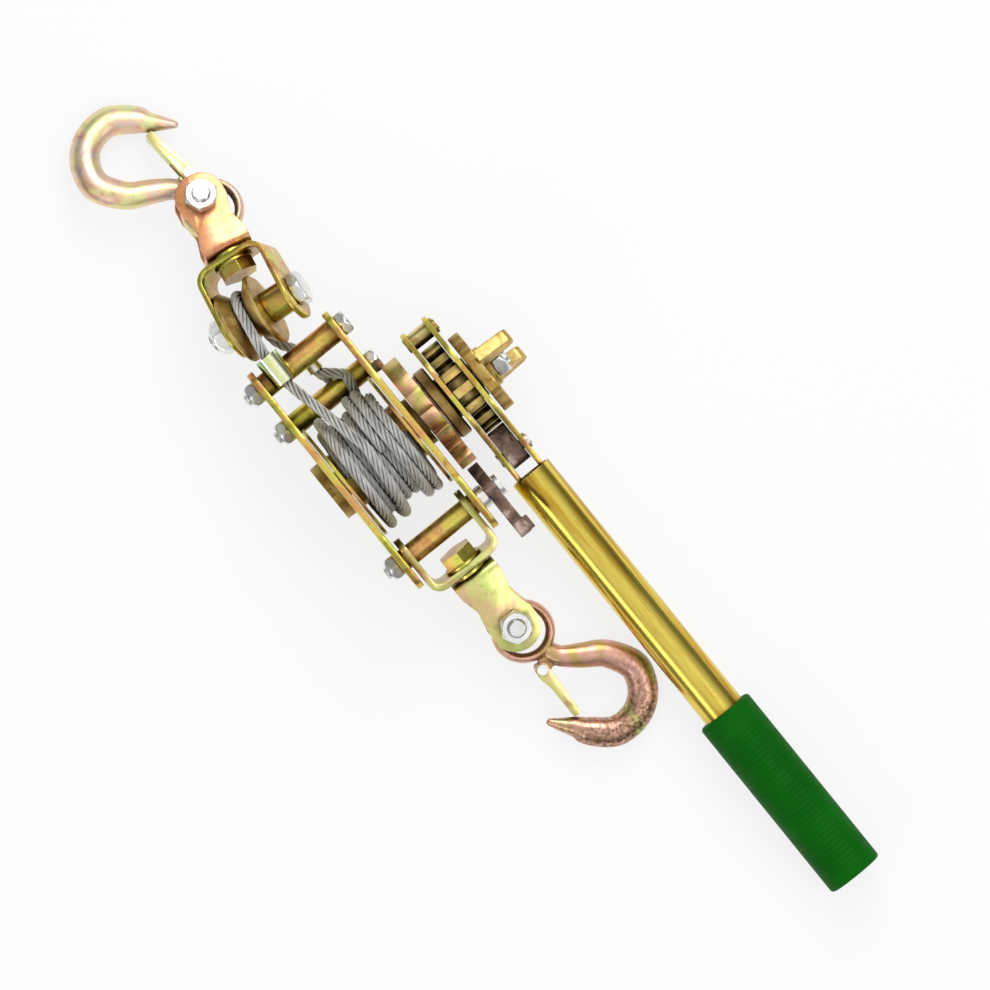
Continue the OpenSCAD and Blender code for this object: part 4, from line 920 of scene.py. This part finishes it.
class WINCH_OT_rope(bpy.types.Operator):
    """Winds the wire rope on the drum and runs it through the guide and over the sheave"""
    bl_idname = "winch.rope"
    bl_label = "Wire rope"

    def execute(self, context):
        rope = context.scene.winch_rope
        side = DRUM_IN - ROPE_R - 0.4
        wound = [wound_points(BURIED_LAYER_R, DRUM_TURNS, -side, side, 0.0),
                 wound_points(OUTER_LAYER_R, DRUM_TURNS, -side + 1.0, side - 1.0, 0.75),
                 wound_points(TOP_LAYER_R, 2.2, 4.9, 17.7, 0.9, 4.5)]
        winding, _ = rope_object("wound_rope", wound, rope)
        seat_piece(winding, "drum", finish("wire"), "wire_rope", "rope_winding", "rope_core")
        # The rope is laid on from the drum over the sheave and back to the frame
        lead, facing = rope_object("lead_rope", [lead_points()], rope)
        self.pay_out(lead, "rope_lead", (GUIDE_X - GUIDE_LEN / 2, GUIDE_Y, GUIDE_Z),
                     from_block(15.5, 0, SHEAVE_ROPE_R))
        turned, facing = rope_object("sheave_rope", [turn_points()], rope, facing)
        seat_piece(turned, "block", finish("wire"), "wire_rope", "rope_turn")
        back, _ = rope_object("return_rope", [return_points()], rope, facing)
        self.pay_out(back, "rope_return", FERRULE_AT - (9.5, 0, -ROPE_R),
                     from_block(16, 3, -SHEAVE_ROPE_R - 0.5))
        return {"FINISHED"}

    def pay_out(self, obj, node, start, end):
        """Gives a run of rope between the frame and the block its finish, hides the frame node that it stands
        for and puts its place into its mesh. On the winch this run lengthens as the drum lets rope out.
        """
        obj.data.materials.append(finish("wire"))
        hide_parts(node)
        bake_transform(obj)


class WINCH_OT_fasteners(bpy.types.Operator):
    """Makes the chamfered hexagon bolts and nuts, with threads where they show"""
    bl_idname = "winch.fasteners"
    bl_label = "Bolts and nuts"

    def execute(self, context):
        spacers = ((TOP_SPACER, 6.0), (MIDDLE_SPACER, 6.0), (BOTTOM_SPACER, 4.5))
        bolts, nuts = [], []
        radius, pitch, flats, height = M8
        for (x, z), head in spacers:
            across = AT_AXLE @ shift(x, 0, z) @ ALONG_SHAFT
            bolts.append(placed(rod(radius, -PLATE_OUT - 1, PLATE_OUT + 0.5), across))
            bolts.append(placed(hex_head(flats, head), across @ shift(0, 0, PLATE_OUT)))
            end = threaded_end(radius, PLATE_OUT, PLATE_OUT + 9, pitch)
            bolts.append(placed(end, across @ turn(180, "X")))
            nut = hex_nut(flats, height, radius + NUT_PLAY)
            nuts.append(placed(nut, across @ shift(0, 0, -PLATE_OUT - height)))
        self.add("frame_bolts_part", bolts, "frame", "frame_bolts")
        self.add("frame_nuts_part", nuts, "frame", "frame_nuts")

        radius, pitch, flats, height = M10
        for side, place in (("lower", LOWER_BOLT), ("upper", UPPER_BOLT)):
            shank = rod(radius, -FORK_HALF, FORK_HALF + 1)
            head = placed(hex_head(flats, 6.4), shift(0, 0, -FORK_HALF) @ turn(180, "X"))
            end = threaded_end(radius, FORK_HALF, FORK_HALF + 10.5, pitch)
            self.add(f"hook_bolt_{side}_part", [placed(p, place) for p in (shank, head, end)],
                     f"{side}_fork", f"hook_bolt_{side}")
            nut = placed(hex_nut(flats, height, radius + NUT_PLAY), place @ shift(0, 0, FORK_HALF))
            self.add(f"hook_nut_{side}_part", [nut], f"{side}_fork", f"hook_nut_{side}")

        radius, pitch, flats, height = M12
        across = IN_BLOCK @ ALONG_SHAFT
        head = placed(hex_head(flats, 7), across @ shift(0, 0, STRAP_Y + BLOCK_HALF))
        shank = placed(rod(radius, STRAP_Y - BLOCK_HALF - 1, STRAP_Y + BLOCK_HALF + 1), across)
        end = placed(threaded_end(radius, BLOCK_HALF - STRAP_Y, BLOCK_HALF - STRAP_Y + 11, pitch),
                     across @ turn(180, "X"))
        self.add("sheave_bolt_part", [shank, head, end], "block", "sheave_bolt")
        nut = placed(hex_nut(flats, height, radius + NUT_PLAY),
                     across @ shift(0, 0, STRAP_Y - BLOCK_HALF - height))
        self.add("sheave_nut_part", [nut], "block", "sheave_nut")
        nut = placed(hex_nut(SHAFT_NUT_FLATS, SHAFT_NUT_HEIGHT, radius + NUT_PLAY),
                     AT_AXLE @ ALONG_SHAFT @ shift(0, 0, NUT_Y))
        self.add("shaft_nut_part", [nut], "drum", "shaft_nut")
        return {"FINISHED"}

    def add(self, name, parts, body, node):
        seat_piece(make_object(name, parts, 32), body, finish("bright"), "bright_steel", node)


class WINCH_OT_handle(bpy.types.Operator):
    """Finishes the handle's plates, tube, rivets and spacer and the drive pawl's bolt, and moulds the ribbed
    grip
    """
    bl_idname = "winch.handle"
    bl_label = "Handle and grip"

    def execute(self, context):
        for node in ("handle_plate_inner", "handle_plate_outer"):
            seat_piece(broken_edges(node, node + "_part", 0.4), "handle", finish("zinc"), "zinc", node)
        coat("tube", "handle_tube")
        coat("zinc", "handle_rivets")
        coat("pale", "handle_spacer")
        coat("bright", "drive_pawl_bolt")
        grip = make_object("ribbed_grip", [placed(self.grip(context.scene.winch_grip), IN_HANDLE)], 50)
        seat_piece(grip, "handle", finish("rubber"), "grip_rubber", "handle_grip")
        return {"FINISHED"}

    def grip(self, look):
        """Ribs over a tube, with a smooth strip down each side that a parting line borders."""
        sides, inner, end_wall = 144, 12.52, 5.0
        strip_at, strip_half = math.radians(25), math.radians(30)
        angles = np.linspace(0, 2 * math.pi, sides, endpoint=False)
        off_strip = np.abs((angles - strip_at + math.pi / 2) % math.pi - math.pi / 2)
        ribbed = np.clip((off_strip - strip_half) / math.radians(3), 0, 1)
        line = np.exp(-((off_strip - strip_half) / math.radians(1.6)) ** 2)
        collar, tail, edge = 14.0, 7.0, 2.2
        rings = []
        for x in np.arange(0, GRIP_LEN + 0.001, 0.25):
            into_edge = edge - min(edge, x, GRIP_LEN - x)
            smooth = GRIP_R - edge + math.sqrt(edge ** 2 - into_edge ** 2)
            wave = 0.5 - 0.5 * math.cos(2 * math.pi * (x - tail) / look.rib_pitch)
            fade = min(1.0, max(0.0, (x - tail) / 1.5), max(0.0, (GRIP_LEN - collar - x) / 1.5))
            radius = smooth - fade * (look.rib_depth * wave * ribbed + 0.4 * line)
            rings.append(np.column_stack([np.full(sides, GRIP_END - x), HANDLE_Y + radius * np.cos(angles),
                                          radius * np.sin(angles)]))
        for x in (GRIP_LEN, end_wall):
            rings.append(np.column_stack([np.full(sides, GRIP_END - x), HANDLE_Y + inner * np.cos(angles),
                                          inner * np.sin(angles)]))
        return loft(rings)


class WINCH_OT_castings(bpy.types.Operator):
    """Casts the brake knob and forges the two pawls"""
    bl_idname = "winch.castings"
    bl_label = "Knob and pawls"

    def execute(self, context):
        for node, body, finish_name, slot, voxel, rounds in (
                ("brake_knob", "knob", "cast", "cast_gold", 0.45, 6),
                ("holding_pawl", "hold_pawl", "forged", "dark_steel", 0.4, 4),
                ("drive_pawl", "drive_pawl_body", "forged", "dark_steel", 0.4, 4)):
            piece = cast_form(copy_of(node, node + "_part"), voxel, rounds)
            seat_piece(piece, body, finish(finish_name), slot, node)
        return {"FINISHED"}


class WINCH_OT_hooks(bpy.types.Operator):
    """Forges the two eye hooks and rounds the edges of their latches"""
    bl_idname = "winch.hooks"
    bl_label = "Hooks and latches"

    def execute(self, context):
        for side, place, finish_name, slot in (("lower", IN_LOWER_HOOK, "copper", "copper_zinc"),
                                               ("upper", IN_UPPER_HOOK, "pastel", "pale_zinc")):
            hook = hook_form(f"eye_hook_{side}", place)
            seat_piece(hook, f"{side}_hook", finish(finish_name), slot, f"hook_{side}")
            latch = broken_edges(f"latch_{side}", f"latch_{side}_part", 0.25)
            seat_piece(latch, f"{side}_latch", finish("pale"), "pale_zinc", f"latch_{side}")
        coat("bright", "latch_pin_lower", "latch_pin_upper")
        return {"FINISHED"}


class WINCH_OT_links(bpy.types.Operator):
    """Rounds the edges of the yoke, the forks and the block's cheeks, and finishes the sheave and the swivel
    parts
    """
    bl_idname = "winch.links"
    bl_label = "Yoke, forks and block"

    def execute(self, context):
        for node, body, finish_name, slot in (("yoke", "yoke_body", "pale", "pale_zinc"),
                                              ("fork_lower", "lower_fork", "pale", "pale_zinc"),
                                              ("fork_upper", "upper_fork", "blush", "pale_zinc"),
                                              ("block_cheeks", "block", "zinc", "zinc")):
            seat_piece(broken_edges(node, node + "_part", 0.5), body, finish(finish_name), slot, node)
        coat("cast", "sheave")
        coat("zinc", "sheave_spacer", "swivel_bolt_lower", "swivel_bolt_upper",
             "swivel_washer_lower", "swivel_washer_upper")
        return {"FINISHED"}


class WINCH_PT_panel(bpy.types.Panel):
    """Lists the winch's pieces and their settings"""
    bl_idname = "WINCH_PT_panel"
    bl_label = "Hand Cable Winch"
    bl_space_type = "VIEW_3D"
    bl_region_type = "UI"
    bl_category = "Winch"

    def draw(self, context):
        for operator in OPERATORS:
            self.layout.operator(operator.bl_idname)
        for group in (context.scene.winch_rope, context.scene.winch_grip, context.scene.winch_stage):
            box = self.layout.box()
            for name in group.__annotations__:
                box.prop(group, name)


OPERATORS = (WINCH_OT_stage, WINCH_OT_frame, WINCH_OT_rope, WINCH_OT_fasteners, WINCH_OT_handle,
             WINCH_OT_castings, WINCH_OT_hooks, WINCH_OT_links)
SETTINGS = (("winch_rope", WinchRopeSettings), ("winch_grip", WinchGripSettings),
            ("winch_stage", WinchStageSettings))


def register():
    for name, group in SETTINGS:
        bpy.utils.register_class(group)
        setattr(bpy.types.Scene, name, bpy.props.PointerProperty(type=group))
    for cls in (*OPERATORS, WINCH_PT_panel):
        bpy.utils.register_class(cls)


def unregister():
    for cls in reversed((*OPERATORS, WINCH_PT_panel)):
        bpy.utils.unregister_class(cls)
    for name, group in reversed(SETTINGS):
        delattr(bpy.types.Scene, name)
        bpy.utils.unregister_class(group)


def main():
    register()
    bpy.ops.winch.stage()
    bpy.ops.winch.frame()
    bpy.ops.winch.rope()
    bpy.ops.winch.fasteners()
    bpy.ops.winch.handle()
    bpy.ops.winch.castings()
    bpy.ops.winch.hooks()
    bpy.ops.winch.links()
    bpy.context.view_layer.update()


if __name__ == "__main__":
    main()
